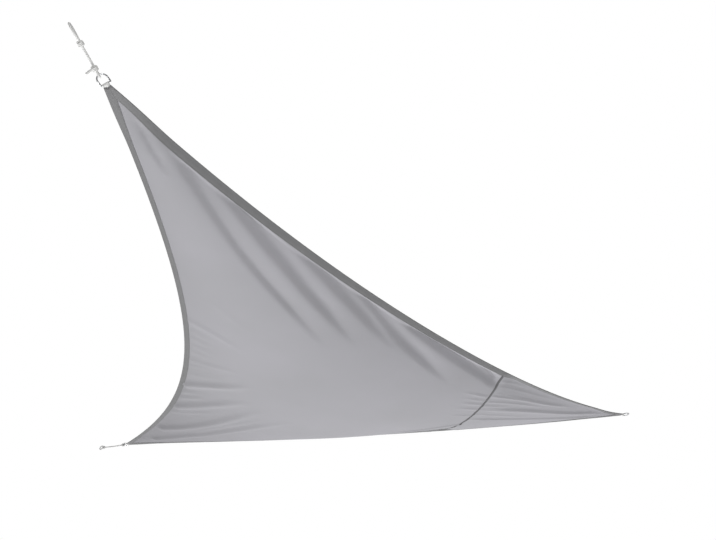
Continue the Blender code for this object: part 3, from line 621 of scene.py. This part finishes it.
ropeSize = {
    "radius": 0.004, "strands": 3, "pitch": 0.030, "groove": 0.15, "sides": 24, "step": 0.0018,
    "knotRadius": 0.0098, "knotLength": 0.020, "knotReach": 0.012, "inKnot": 0.006,
    "turns": 3.3, "turnRadius": 0.0034, "turnOval": 1.06, "turnSlack": 0.0008, "turnPoints": 14,
    "standingIn": 0.004, "standingOut": 0.012, "eyeLength": 0.060, "eyeHalfWidth": 0.014,
    "tailLength": 0.026, "tailShape": ((0.0, 0.0), (0.4, 0.0), (0.75, 0.12), (1.0, 0.27)),
}
ropes = {
    "high": {"length": 0.062, "sag": 0.0, "heading": (-0.33, -0.90, 0.56), "tail": (-0.80, 0.10, -0.45)},
    "low": {"length": 0.300, "sag": 0.002, "heading": (-0.717, 0.697, 0.0), "tail": None},
}


def cornerFrame(corner):
    patch = planes[corner]
    return {"end": place[corner] + bluntBack[corner] * patch["into"], "pull": -patch["into"],
            "bar": patch["across"], "normal": patch["normal"]}


def turned(turnFrame, angle):
    cosine, sine = math.cos(angle), math.sin(angle)
    return {**turnFrame, "bar": cosine * turnFrame["bar"] + sine * turnFrame["normal"],
            "normal": cosine * turnFrame["normal"] - sine * turnFrame["bar"]}


def laidRope(name, route, radius):
    # Three strands laid together, swept along the route
    path = routePoints(route, max(8, round(pathLengths(np.array(route))[-1] / ropeSize["step"])))
    length = pathLengths(path)[-1]
    ways = unit(np.gradient(path, axis=0))
    across = unit(np.cross(ways[0], (0.3, 0.2, 0.93)))
    sides = ropeSize["sides"]
    points, uvs, grooveShades = [], [], []
    angles = np.arange(sides) / sides * 2 * math.pi
    for index, (spot, way) in enumerate(zip(path, ways)):
        across = unit(across - np.dot(across, way) * way)
        over = np.cross(way, across)
        along = index / (len(path) - 1) * length
        phase = angles - 2 * math.pi * along / ropeSize["pitch"]
        hollow = 1 - np.abs(np.cos(phase * ropeSize["strands"] / 2)) ** 0.8
        room = min(max(min(along, length - along), 0) / (0.5 * radius), 1)
        sizes = radius * (1 - ropeSize["groove"] * hollow) * (0.6 + 0.4 * math.sqrt(1 - (1 - room) ** 2))
        points += list(spot + (np.cos(angles) * sizes)[:, None] * across
                       + (np.sin(angles) * sizes)[:, None] * over)
        uvs += [(along, angle / (2 * math.pi)) for angle in phase]
        # The groove mask feeds the painted shade in the rope's colour
        grooveShades += list(hollow)
    faces = [tuple(face) for face in gridFaces(len(path), sides, closed=True)]
    for base, spot, turn in ((0, path[0], -1), ((len(path) - 1) * sides, path[-1], 1)):
        faces += [(len(points), base + spoke, base + (spoke + 1) % sides)[::turn] for spoke in range(sides)]
        points.append(spot)
        uvs.append((0.0, 0.0))
        grooveShades.append(0.6)
    return meshPiece(name, points, faces, "rope", uvs, {"groove": grooveShades})


def knotRoute(start, way, normal):
    # Turns of rope side by side round the line from start along way
    over = np.cross(way, normal)
    radius, turns = ropeSize["turnRadius"], ropeSize["turns"]
    reach = ropeSize["knotRadius"] - radius + ropeSize["turnSlack"]
    route = []
    for share in np.linspace(0, 1, round(turns * ropeSize["turnPoints"]) + 1):
        angle = 2 * math.pi * turns * share
        route.append(start + (radius + share * (ropeSize["knotLength"] - 2 * radius)) * way
                     + reach * ropeSize["turnOval"] * math.cos(angle) * normal + reach * math.sin(angle) * over)
    return route


def eyeRoute(start, way, normal):
    spread, half, reach = ropeSize["radius"] + gap, ropeSize["eyeHalfWidth"], ropeSize["eyeLength"]
    outline = [(0.0, spread), (0.10, spread), (0.34, half * 0.75), (0.55, half), (0.78, half * 0.9),
               (0.94, half * 0.5)]
    outline += [(1.0, 0.0)] + [(share, -wide) for share, wide in reversed(outline)]
    return [start + reach * share * way + wide * normal for share, wide in outline]


def bightRoute(far, way, normal, reach):
    radius, spread = ringSize["wire"] + ropeSize["radius"] + 2 * gap, ropeSize["radius"] + gap
    legs = [(share * reach, spread + (radius - spread) * float(smooth((0.85 - share) / 0.7)))
            for share in (1.0, 0.85, 0.5, 0.2)]
    bend = [(-radius * math.sin(angle), radius * math.cos(angle)) for angle in np.linspace(0, math.pi, 9)[1:-1]]
    outline = legs + bend + [(up, -out) for up, out in reversed(legs)]
    return [far + up * way + out * normal for up, out in outline]


def makeRope(corner, ringFrame):
    settings = ropes[corner]
    radius, knotLength = ropeSize["radius"], ropeSize["knotLength"]
    far = ringFrame["end"] + (ringSize["reach"] + ringSize["length"]) * ringFrame["pull"]
    way = unit(np.array(settings["heading"]))
    normal = unit(ringFrame["normal"] - np.dot(ringFrame["normal"], way) * way)
    knotStart = far + ropeSize["knotReach"] * way
    start = knotStart + (knotLength + gap) * way
    end = start + settings["length"] * way
    standing = [knotStart + ropeSize["standingIn"] * way, knotStart + 0.5 * knotLength * way]
    standing += [start + share * (end - start) + settings["sag"] * 4 * share * (1 - share) * down
                 for share in np.linspace(0, 1, 7)] + [end + ropeSize["standingOut"] * way]
    eyeStart = end + (4 * gap + knotLength - ropeSize["inKnot"]) * way
    name, node = corner + "_rope", "rope_" + corner
    line = ride(laidRope(name, standing, radius), node, slot="rope")
    routes = [
        ("_bight", "_loop", bightRoute(far, way, normal, ropeSize["knotReach"] + ropeSize["inKnot"]), radius),
        ("_knot", "_knot", knotRoute(knotStart, way, normal), ropeSize["turnRadius"]),
        ("_end_knot", "_end_knot", knotRoute(end + gap * way, way, normal), ropeSize["turnRadius"]),
        ("_eye", "_eye", eyeRoute(eyeStart, way, normal), radius),
    ]
    if settings["tail"]:
        aside = unit(np.array(settings["tail"]) - np.dot(settings["tail"], way) * way)
        root = knotStart + 0.5 * knotLength * way + ropeSize["turnRadius"] * aside
        out = ropeSize["tailLength"]
        tail = [root + out * (reach * aside + droop * down) for reach, droop in ropeSize["tailShape"]]
        routes.append(("_tail", "_tail", tail, radius))
    pieces = [ride(laidRope(name + part, route, size), node + stands, slot="rope")
              for part, stands, route, size in routes]
    path = routePoints(standing, 60)


def makeRing(corner, ringFrame):
    # The wire's round section, spun and extruded round the D
    wire, half, bend = ringSize["wire"], ringSize["halfWidth"], ringSize["bend"]
    bpy.ops.object.select_all(action="DESELECT")
    bpy.ops.mesh.primitive_circle_add(vertices=16, radius=wire, location=(0, 0, 0),
                                      rotation=(0, math.pi / 2, 0))
    piece = bpy.context.object
    piece.name = corner + "_ring"
    bpy.ops.object.transform_apply(location=True, rotation=True, scale=True)
    bpy.ops.object.mode_set(mode="EDIT")
    bpy.ops.mesh.select_all(action="SELECT")
    straight, rise = half - bend, ringSize["length"] - half - bend
    turns = [((straight, 0), 5, -math.pi / 2, (straight, bend)), ((0, rise), 28, -math.pi, (0, bend + rise)),
             ((0, -rise), 5, -math.pi / 2, (-straight, bend)), ((straight, 0), 0, 0, None)]
    for (x, y), steps, angle, middle in turns:
        for _ in range(3):
            bpy.ops.mesh.extrude_region_move(TRANSFORM_OT_translate={"value": (x / 3, y / 3, 0)})
        if steps:
            bpy.ops.mesh.spin(steps=steps, angle=angle, center=(*middle, 0), axis=(0, 0, 1))
    bpy.ops.mesh.select_all(action="SELECT")
    bpy.ops.mesh.remove_doubles(threshold=0.00005)
    bpy.ops.mesh.normals_make_consistent(inside=False)
    bpy.ops.object.mode_set(mode="OBJECT")
    bar = ringFrame["end"] + ringSize["reach"] * ringFrame["pull"] + ringSize["shift"] * ringFrame["bar"]
    out = np.cross(ringFrame["bar"], ringFrame["pull"])
    axes = Matrix([ringFrame["bar"], ringFrame["pull"], out]).transposed().to_4x4()
    matrix = Matrix.Translation(Vector(bar)) @ axes
    piece.data.transform(matrix)
    piece.data.materials.append(finishes["steel"])
    piece.data.shade_smooth()
    return ride(piece, "ring_" + corner, slot="steel")


frames = {corner: cornerFrame(corner) for corner in corners}
ringFrames = {corner: turned(frames[corner], math.radians(corners[corner]["twist"])) for corner in corners}
for corner in ropes:
    makeRope(corner, ringFrames[corner])
for corner in corners:
    makeRing(corner, ringFrames[corner])
print("rings bent")

clothGrid = {"mainColumns": 200, "cornerColumns": 110, "rows": 208, "crowding": 0.9, "crowdReach": 0.16,
             "lapRoom": 0.004, "cornerEnd": 0.008, "cornerLast": 0.012}
laps = {edge: (share - 0.5 * shape["lap"] / side, share + 0.5 * shape["lap"] / side)
        for edge, share in shape["seam"].items()}


def closerRows(count):
    # Rows of the cloth's mesh, closer together towards the folds at the high-right edge
    fine = np.linspace(0, 1, 2001)
    crowd = np.cumsum(0.8 + clothGrid["crowding"] * np.exp(-((1 - fine) / clothGrid["crowdReach"]) ** 2))
    return np.interp(np.linspace(0, 1, count + 1), (crowd - crowd[0]) / (crowd[-1] - crowd[0]), fine)


rowShares = closerRows(clothGrid["rows"])


def hemLine(name, shares):
    return inwardParams(name, shares, hem)


def straightColumn(bottomShare, topShare):
    bottom, top = hemLine("low_right", bottomShare)[0], hemLine("high_right", topShare)[0]
    return bottom + rowShares[:, None] * (top - bottom)


def coons(left, right, bottom, top, shares):
    # Fills the field between four lines of (s, t) pairs
    up = rowShares[:, None, None]
    over = ((shares - shares[0]) / (shares[-1] - shares[0]))[None, :, None]
    ruled = (1 - over) * left[:, None] + over * right[:, None] + (1 - up) * bottom[None] + up * top[None]
    return ruled - (1 - over) * ((1 - up) * bottom[0] + up * top[0]) \
        - over * ((1 - up) * bottom[-1] + up * top[-1])


def edgePoints(name, shares, inner):
    outer = sailPoint(*edgeParams(name, shares))
    return outer + (inner - outer) * shape["hemInset"] / hem


def edgeFlats(name, shares):
    here, inward = edgeFrame(name, shares)
    return here + shape["hemInset"] * inward


def sideShares():
    low, high = (1 - feet[corner]["high_low"] for corner in ("low", "high"))
    return 1 - (low + (high - low) * rowShares)


def mainShares(edge):
    start = feet[edges[edge]["ends"][0]][edge]
    lap = laps[edge]
    room = clothGrid["lapRoom"] / side
    return np.concatenate([np.linspace(start, lap[0] - room, clothGrid["mainColumns"] + 1), lap])


def cornerShares(edge):
    end = 1 - (2 * hem + clothGrid["cornerEnd"]) / 2 / math.tan(lines["right"]["half"]) / side
    last = end - clothGrid["cornerLast"] / side
    lap = laps[edge]
    between = np.linspace(lap[1] + clothGrid["lapRoom"] / side, last, clothGrid["cornerColumns"])
    return np.concatenate([lap, between, [end]])


def gridNormals(rows):
    normals = unit(np.cross(np.gradient(rows, axis=1), np.gradient(rows, axis=0)))
    return normals * np.sign(normals[..., 2:])


# How far the painted shade reaches from the two far corners
paintedCornerShade = {"low": {"start": 1.15, "reach": 1.7}, "right": {"start": 1.05, "reach": 0.34}}


def paintedCornerShadeShare(flats):
    # Painted shade: the cloth's colour darkens a little towards the two far corners
    return np.max([smooth(shade["start"] - np.linalg.norm(flats - flatCorner[corner], axis=-1) / shade["reach"])
                   for corner, shade in paintedCornerShade.items()], axis=0)


def hemmedRows(field, bottom, top):
    # The field's places on the hung and on the flat cloth, with the two long hems beside it
    points, flats = sailPoint(field[..., 0], field[..., 1], True), flatPlace(field[..., 0], field[..., 1])
    hems = edgePoints("low_right", bottom, points[0]), edgePoints("high_right", top, points[-1])
    flatHems = edgeFlats("low_right", bottom), edgeFlats("high_right", top)
    return np.concatenate([hems[:1], points, hems[1:]]), np.concatenate([flatHems[:1], flats, flatHems[1:]])


def clothPiece(name, rows, flats, lapColumns):
    # Painted shade: the seam's lapped columns are coloured darker, as two layers of cloth let less light
    # through
    paintedLapShade = np.zeros(rows.shape[:2])
    paintedLapShade[:, lapColumns] = 1
    # The corner mask carries the painted shade towards the two far corners
    masks = {"paintedLapShade": paintedLapShade, "paintedCornerShade": paintedCornerShadeShare(flats)}
    piece = thickPiece(name + "_cloth", rows, "cloth", flats, masks, clothThick)
    ride(piece, name, slot="cloth")
    return {"piece": piece, "flats": flats, "lap": [rows[:, column] for column in lapColumns]}


def makeMainPanel():
    bottom, top = mainShares("low_right"), mainShares("high_right")
    starts, ends = zip(laps["low_right"], laps["high_right"])
    field = coons(hemLine("high_low", sideShares()), straightColumn(*starts), hemLine("low_right", bottom[:-1]),
                  hemLine("high_right", top[:-1]), top[:-1])
    field = np.concatenate([field, straightColumn(*ends)[:, None]], axis=1)
    rows, flats = hemmedRows(field, bottom, top)
    strip, stripFlats = edgePoints("high_low", sideShares(), rows[1:-1, 0]), edgeFlats("high_low", sideShares())
    trims, trimFlats = [], []
    for corner in ("low", "high"):
        reach = hem / math.sin(lines[corner]["half"]) - shape["trim"]
        trimFlats.append(flatCorner[corner] + lines[corner]["middle"] * reach)
        trims.append(sailPoint(*paramsAt(trimFlats[-1], corners[corner]["guess"]).T)[0])
    strip = np.concatenate([trims[:1], strip, trims[1:]])
    stripFlats = np.concatenate([trimFlats[:1], stripFlats, trimFlats[1:]])
    rows = np.concatenate([strip[:, None], rows], axis=1)
    flats = np.concatenate([stripFlats[:, None], flats], axis=1)
    return clothPiece("panel_main", rows, flats, (-2, -1))


def makeCornerPanel():
    bottom, top = cornerShares("low_right"), cornerShares("high_right")
    first, left, right = (straightColumn(bottom[column], top[column]) for column in (0, 1, -1))
    field = coons(left, right, hemLine("low_right", bottom[1:]), hemLine("high_right", top[1:]), top[1:])
    rows, flats = hemmedRows(np.concatenate([first[:, None], field], axis=1), bottom, top)
    drop = smooth((shape["seamRamp"] - (top - top[1]) * side) / shape["seamRamp"])
    rows = rows - (clothThick + gap) * drop[None, :, None] * gridNormals(rows)
    return clothPiece("panel_corner", rows, flats, (0, 1))


def sheetArea(flats):
    # Half the product of each face's two diagonals
    first, second = flats[1:, 1:] - flats[:-1, :-1], flats[1:, :-1] - flats[:-1, 1:]
    cross = first[..., 0] * second[..., 1] - first[..., 1] * second[..., 0]
    return float(np.abs(cross).sum() / 2)


webbingSize = {
    "thick": 0.9 * webThick, "stations": 0.011, "rows": (0.004, 0.021), "least": 0.0001, "slack": 0.0005,
    # Across the webbing: distance from its inner line, and how far it stands off there
    "profile": ((0.0, 0.55), (0.0016, 0.42), (0.004, 0.22), (0.0065, 0.45), (0.010, 0.80), (0.014, 0.90),
                (0.0175, 0.80), (0.021, 0.60), (0.0245, 0.85), (0.028, 1.0)),
    # Where the low-right webbing gets a painted highlight beside the seam
    "paintedHighlight": {"rise": 0.47, "full": 0.54, "hold": 0.663, "end": 0.675},
}
webbingStand = clothThick / 2 + shape["webGap"] + webThick / 2


def legLength(name, shares):
    here, inward = edgeFrame(name, shares)
    width = np.full(len(shares), hem)
    for corner in edges[name]["ends"]:
        toward = lines[corner]["toSecond"] * (1 if corners[corner]["edges"][1] == name else -1)
        near = np.linalg.norm(here - flatCorner[corner], axis=1) < shape["mitreReach"]
        room = ((here - flatCorner[corner]) @ toward - shape["mitreGap"] / 2) / -(inward @ toward)
        width = np.where(near, np.minimum(width, room), width)
    return width


def seamDrop(name, shares):
    if name not in laps:
        return np.zeros(len(shares))
    outside = np.maximum(np.maximum(laps[name][0] - shares, shares - laps[name][1]), 0) * side
    ramp = np.clip((shape["seamRamp"] - outside) / (shape["seamRamp"] - shape["lapClear"]), 0, 1)
    return (clothThick + gap) * ramp


def webbingFrame(name):
    # Places along the webbing: its fold, its inner line, and its direction away from the cloth
    head, tail = (shareAt(name, end, shape["bluntWidth"] / 2 / math.sin(lines[end]["half"]))
                  for end in edges[name]["ends"])
    shares = np.linspace(head, tail, round((tail - head) * side / webbingSize["stations"]))
    far = sailPoint(*edgeParams(name, shares))
    near = sailPoint(*inwardParams(name, shares, legLength(name, shares)).T)
    across = unit(near - far)
    normal = unit(np.cross(np.gradient(far + near, axis=0), across))
    normal *= np.sign(normal[:, 2:])
    return {"shares": shares, "far": far, "near": near, "across": across, "normal": normal,
            "extra": seamDrop(name, shares), "length": np.linalg.norm(near - far, axis=1)}


def webbingOffset(frameOf, distance, above):
    # Points of the webbing this far from its inner line, on the upper or the lower side
    reach = np.minimum(distance, frameOf["length"])[:, None]
    least = clothThick + webbingSize["least"]
    lift = least + np.interp(distance, *zip(*webbingSize["profile"])) * (webbingStand - least)
    away = lift if above else -(lift + frameOf["extra"])[:, None]
    return frameOf["near"] - reach * frameOf["across"] + away * frameOf["normal"]


def paintedHighlightShare(name, shares):
    # Beside the seam the low-right webbing turns to the light, and its colour is painted lighter there: a
    # painted highlight
    return span(shares, webbingSize["paintedHighlight"]) if name == "low_right" else np.zeros(len(shares))


def makeWebbing(name):
    frameOf = webbingFrame(name)
    wide = [distance for distance, lift in webbingSize["profile"][:-1]]
    lower, upper = ([webbingOffset(frameOf, distance, above) for distance in wide] for above in (False, True))
    fold = []
    for angle in np.linspace(-math.pi / 2, math.pi / 2, 9):
        reach = webbingStand * math.cos(angle)
        drop = (webbingStand + frameOf["extra"] * (angle < 0)) * math.sin(angle)
        fold.append(frameOf["far"] - reach * frameOf["across"] + drop[:, None] * frameOf["normal"])
    rows = np.stack(lower + fold + upper[::-1], axis=1)
    girth, along = pathLengths(rows[len(rows) // 2]), pathLengths(frameOf["far"])
    uvs = np.stack(np.broadcast_arrays(along[:, None], girth[None]), axis=-1)
    # The painted highlight's share along the webbing
    paintedHighlight = np.broadcast_to(paintedHighlightShare(name, frameOf["shares"])[:, None], rows.shape[:2])
    piece = thickPiece("webbing_" + name + "_band", rows, "webbing", uvs, {"paintedHighlight": paintedHighlight}, webbingSize["thick"])
    return ride(piece, "webbing_" + name, slot="webbing"), frameOf


stitch = {"length": 0.0036, "pitch": 0.0052, "width": 0.0008, "height": 0.00045, "seed": 7, "uneven": 0.0003,
          "lengthSpread": 0.08, "tilt": 0.08, "seamRows": (0.18, 0.82)}


def stitchPieces(name, tracks, finish):
    # Each track is a line of points with the directions away from the cloth there
    draw = random.Random(stitch["seed"])
    wide, high, uneven = stitch["width"] / 2, stitch["height"], stitch["uneven"]
    points, faces = [], []
    for line, normals in tracks:
        lengths = pathLengths(line)
        spots = np.arange(0.5 * stitch["pitch"], lengths[-1] - 0.5 * stitch["pitch"], stitch["pitch"])
        wanted = spots + np.array([draw.uniform(-uneven, uneven) for _ in spots])
        middle, away = placesAt(line, lengths, wanted), unit(placesAt(normals, lengths, wanted))
        ahead = placesAt(line, lengths, wanted + 0.001) - middle
        ahead /= np.maximum(np.linalg.norm(ahead, axis=1, keepdims=True), 1e-9)
        for spot, way, out, over in zip(middle, ahead, away, np.cross(away, ahead)):
            half = stitch["length"] / 2 * draw.uniform(1 - stitch["lengthSpread"], 1 + stitch["lengthSpread"])
            way = way + draw.uniform(-stitch["tilt"], stitch["tilt"]) * over
            base = len(points)
            points += [spot - half * way - 0.2 * high * out, spot + half * way - 0.2 * high * out]
            for share in (-0.72, 0.72):
                here = spot + share * half * way
                points += [here + wide * over, here + high * out, here - wide * over, here - 0.5 * high * out]
            for quarter in range(4):
                near, after = base + 2 + quarter, base + 2 + (quarter + 1) % 4
                faces += [(base, after, near), (base + 1, near + 4, after + 4)]
                faces.append((near, after, after + 4, near + 4))
    return meshPiece(name, points, faces, finish)


def webbingTracks(frameOf):
    tracks = []
    full = frameOf["length"] > hem - webbingSize["slack"]
    for above in (True, False):
        away = frameOf["normal"] * (1 if above else -1)
        for distance in webbingSize["rows"]:
            line = webbingOffset(frameOf, distance, above) + webbingSize["thick"] / 2 * away
            tracks.append((line[full], away[full]))
    return tracks


def seamTracks(mainLap, cornerLap):
    tracks = []
    for share in stitch["seamRows"]:
        for lap, turn in ((mainLap, 1), (cornerLap, -1)):
            line = (lap[0] + share * (lap[1] - lap[0]))[1:-1]
            away = unit(np.cross((lap[1] - lap[0])[1:-1], np.gradient(line, axis=0)))
            away *= np.sign(away[:, 2:]) * turn
            tracks.append((line + 0.5 * clothThick * away, away))
    return tracks


tabSize = {"width": 0.0235, "leg": {"high": 0.036, "low": 0.038, "right": 0.040}, "twisted": 0.0045,
           "spread": 0.0029}


def makeTab(corner, tabFrame):
    # A doubled strip sewn inside the corner's webbing, looped round the ring's bar
    turn = ringSize["wire"] + gap + webThick / 2
    leg, twist = tabSize["leg"][corner], math.radians(corners[corner]["twist"])
    sewn = [(-leg * share, -(gap + webThick) / 2, 0.0) for share in np.linspace(1, 0.02, 12)]
    sewn.append((tabSize["twisted"], -tabSize["spread"], twist))
    loop = [(ringSize["reach"] + turn * math.cos(angle), turn * math.sin(angle), twist)
            for angle in np.linspace(-math.pi / 2, math.pi / 2, 19)]
    overs = np.linspace(-0.5, 0.5, 13) * tabSize["width"]
    rows = []
    for out, up, angle in sewn + loop + [(out, -up, angle) for out, up, angle in reversed(sewn)]:
        turnedFrame = turned(tabFrame, angle)
        point = tabFrame["end"] + out * tabFrame["pull"] + up * turnedFrame["normal"]
        rows.append(point + overs[:, None] * turnedFrame["bar"])
    rows = np.array(rows)
    uvs = np.stack(np.broadcast_arrays(pathLengths(rows[:, 6])[:, None], overs[None]), axis=-1)
    piece = thickPiece("tab_" + corner + "_tape", rows, "tape", uvs, None, webThick, even=True)
    return ride(piece, "tab_" + corner, slot="tab")


mainPanel, cornerPanel = makeMainPanel(), makeCornerPanel()
areas = [sheetArea(panel["flats"]) for panel in (mainPanel, cornerPanel)]
print("cloth cut:", round(areas[0], 3), "and", round(areas[1], 3), "square metres")
bands, bandStitches = [], []
for name in edges:
    band, frameOf = makeWebbing(name)
    bands.append(band)
    bandStitches.append(ride(stitchPieces(name + "_stitching", webbingTracks(frameOf), "greyThread")))
seamLines = seamTracks(mainPanel["lap"], cornerPanel["lap"])
seamStitches = ride(stitchPieces("seam_stitching", seamLines, "darkThread"))
tabs = [makeTab(corner, frames[corner]) for corner in corners]
print("webbing sewn on:", len(bands), "bands")
bands[:1] + bandStitches[:1] + tabs[:2]
bands[1:] + bandStitches[1:] + [seamStitches, tabs[2]]

stage = {"floor": -2.9, "radius": 18.0, "middle": (0.8, 1.8)}
bpy.ops.object.select_all(action="DESELECT")
bpy.ops.mesh.primitive_circle_add(vertices=96, radius=stage["radius"], fill_type="NGON",
                                  location=(*stage["middle"], stage["floor"]))
floor = bpy.context.object
floor.name = "floor"
paint = Finish("floor_paint")
tone = paint.blend(paint.noise(paint.place(), 0.8), (0.83,) * 3, (0.80,) * 3)
paint.feed(paint.shader.inputs["Base Color"], tone)
floor.data.materials.append(paint.material)
floor.visible_shadow = False

# Size: a sun's in degrees, an area light's in metres
lights = {
    "key": {"kind": "SUN", "place": (-4.8, 4.4, -4.7), "aim": (0, 0, 0), "size": 16, "power": 2.3},
    "back": {"kind": "SUN", "place": (2.9, 4.2, -6.2), "aim": (0, 0, 0), "size": 16, "power": 1.5},
    "front": {"kind": "AREA", "place": (2.5, -6.5, -1.6), "aim": (0.8, 2.2, -0.6), "size": 4.0, "power": 184},
    "top": {"kind": "AREA", "place": (0.0, 1.0, 6.0), "aim": (0.6, 2.0, -0.5), "size": 6.0, "power": 130},
}
for name, light in lights.items():
    turn = (Vector(light["aim"]) - Vector(light["place"])).to_track_quat("-Z", "Y").to_euler()
    bpy.ops.object.light_add(type=light["kind"], location=light["place"], rotation=turn)
    lamp = bpy.context.object
    lamp.name = name + "_light"
    lamp.data.energy = light["power"]
    if light["kind"] == "SUN":
        lamp.data.angle = math.radians(light["size"])
    else:
        lamp.data.shape = "DISK"
        lamp.data.size = light["size"]
        lamp.visible_camera = False

# The backdrop is white to the camera and dim to the cloth
world = bpy.data.worlds.new("studio")
bpy.context.scene.world = world
world.use_nodes = True
tree = world.node_tree
rays, mix = tree.nodes.new("ShaderNodeLightPath"), tree.nodes.new("ShaderNodeMixShader")
tree.links.new(rays.outputs["Is Camera Ray"], mix.inputs[0])
dim, white = tree.nodes["Background"], tree.nodes.new("ShaderNodeBackground")
for index, (glow, strength) in enumerate(((dim, 0.15), (white, 1.0))):
    glow.inputs["Color"].default_value = (1, 1, 1, 1)
    glow.inputs["Strength"].default_value = strength
    tree.links.new(glow.outputs[0], mix.inputs[index + 1])
tree.links.new(mix.outputs[0], tree.nodes["World Output"].inputs["Surface"])
bpy.context.scene.view_settings.view_transform = "Standard"
bpy.context.scene.view_settings.look = "None"
print("studio lit:", len(lights), "lights")

print("done")
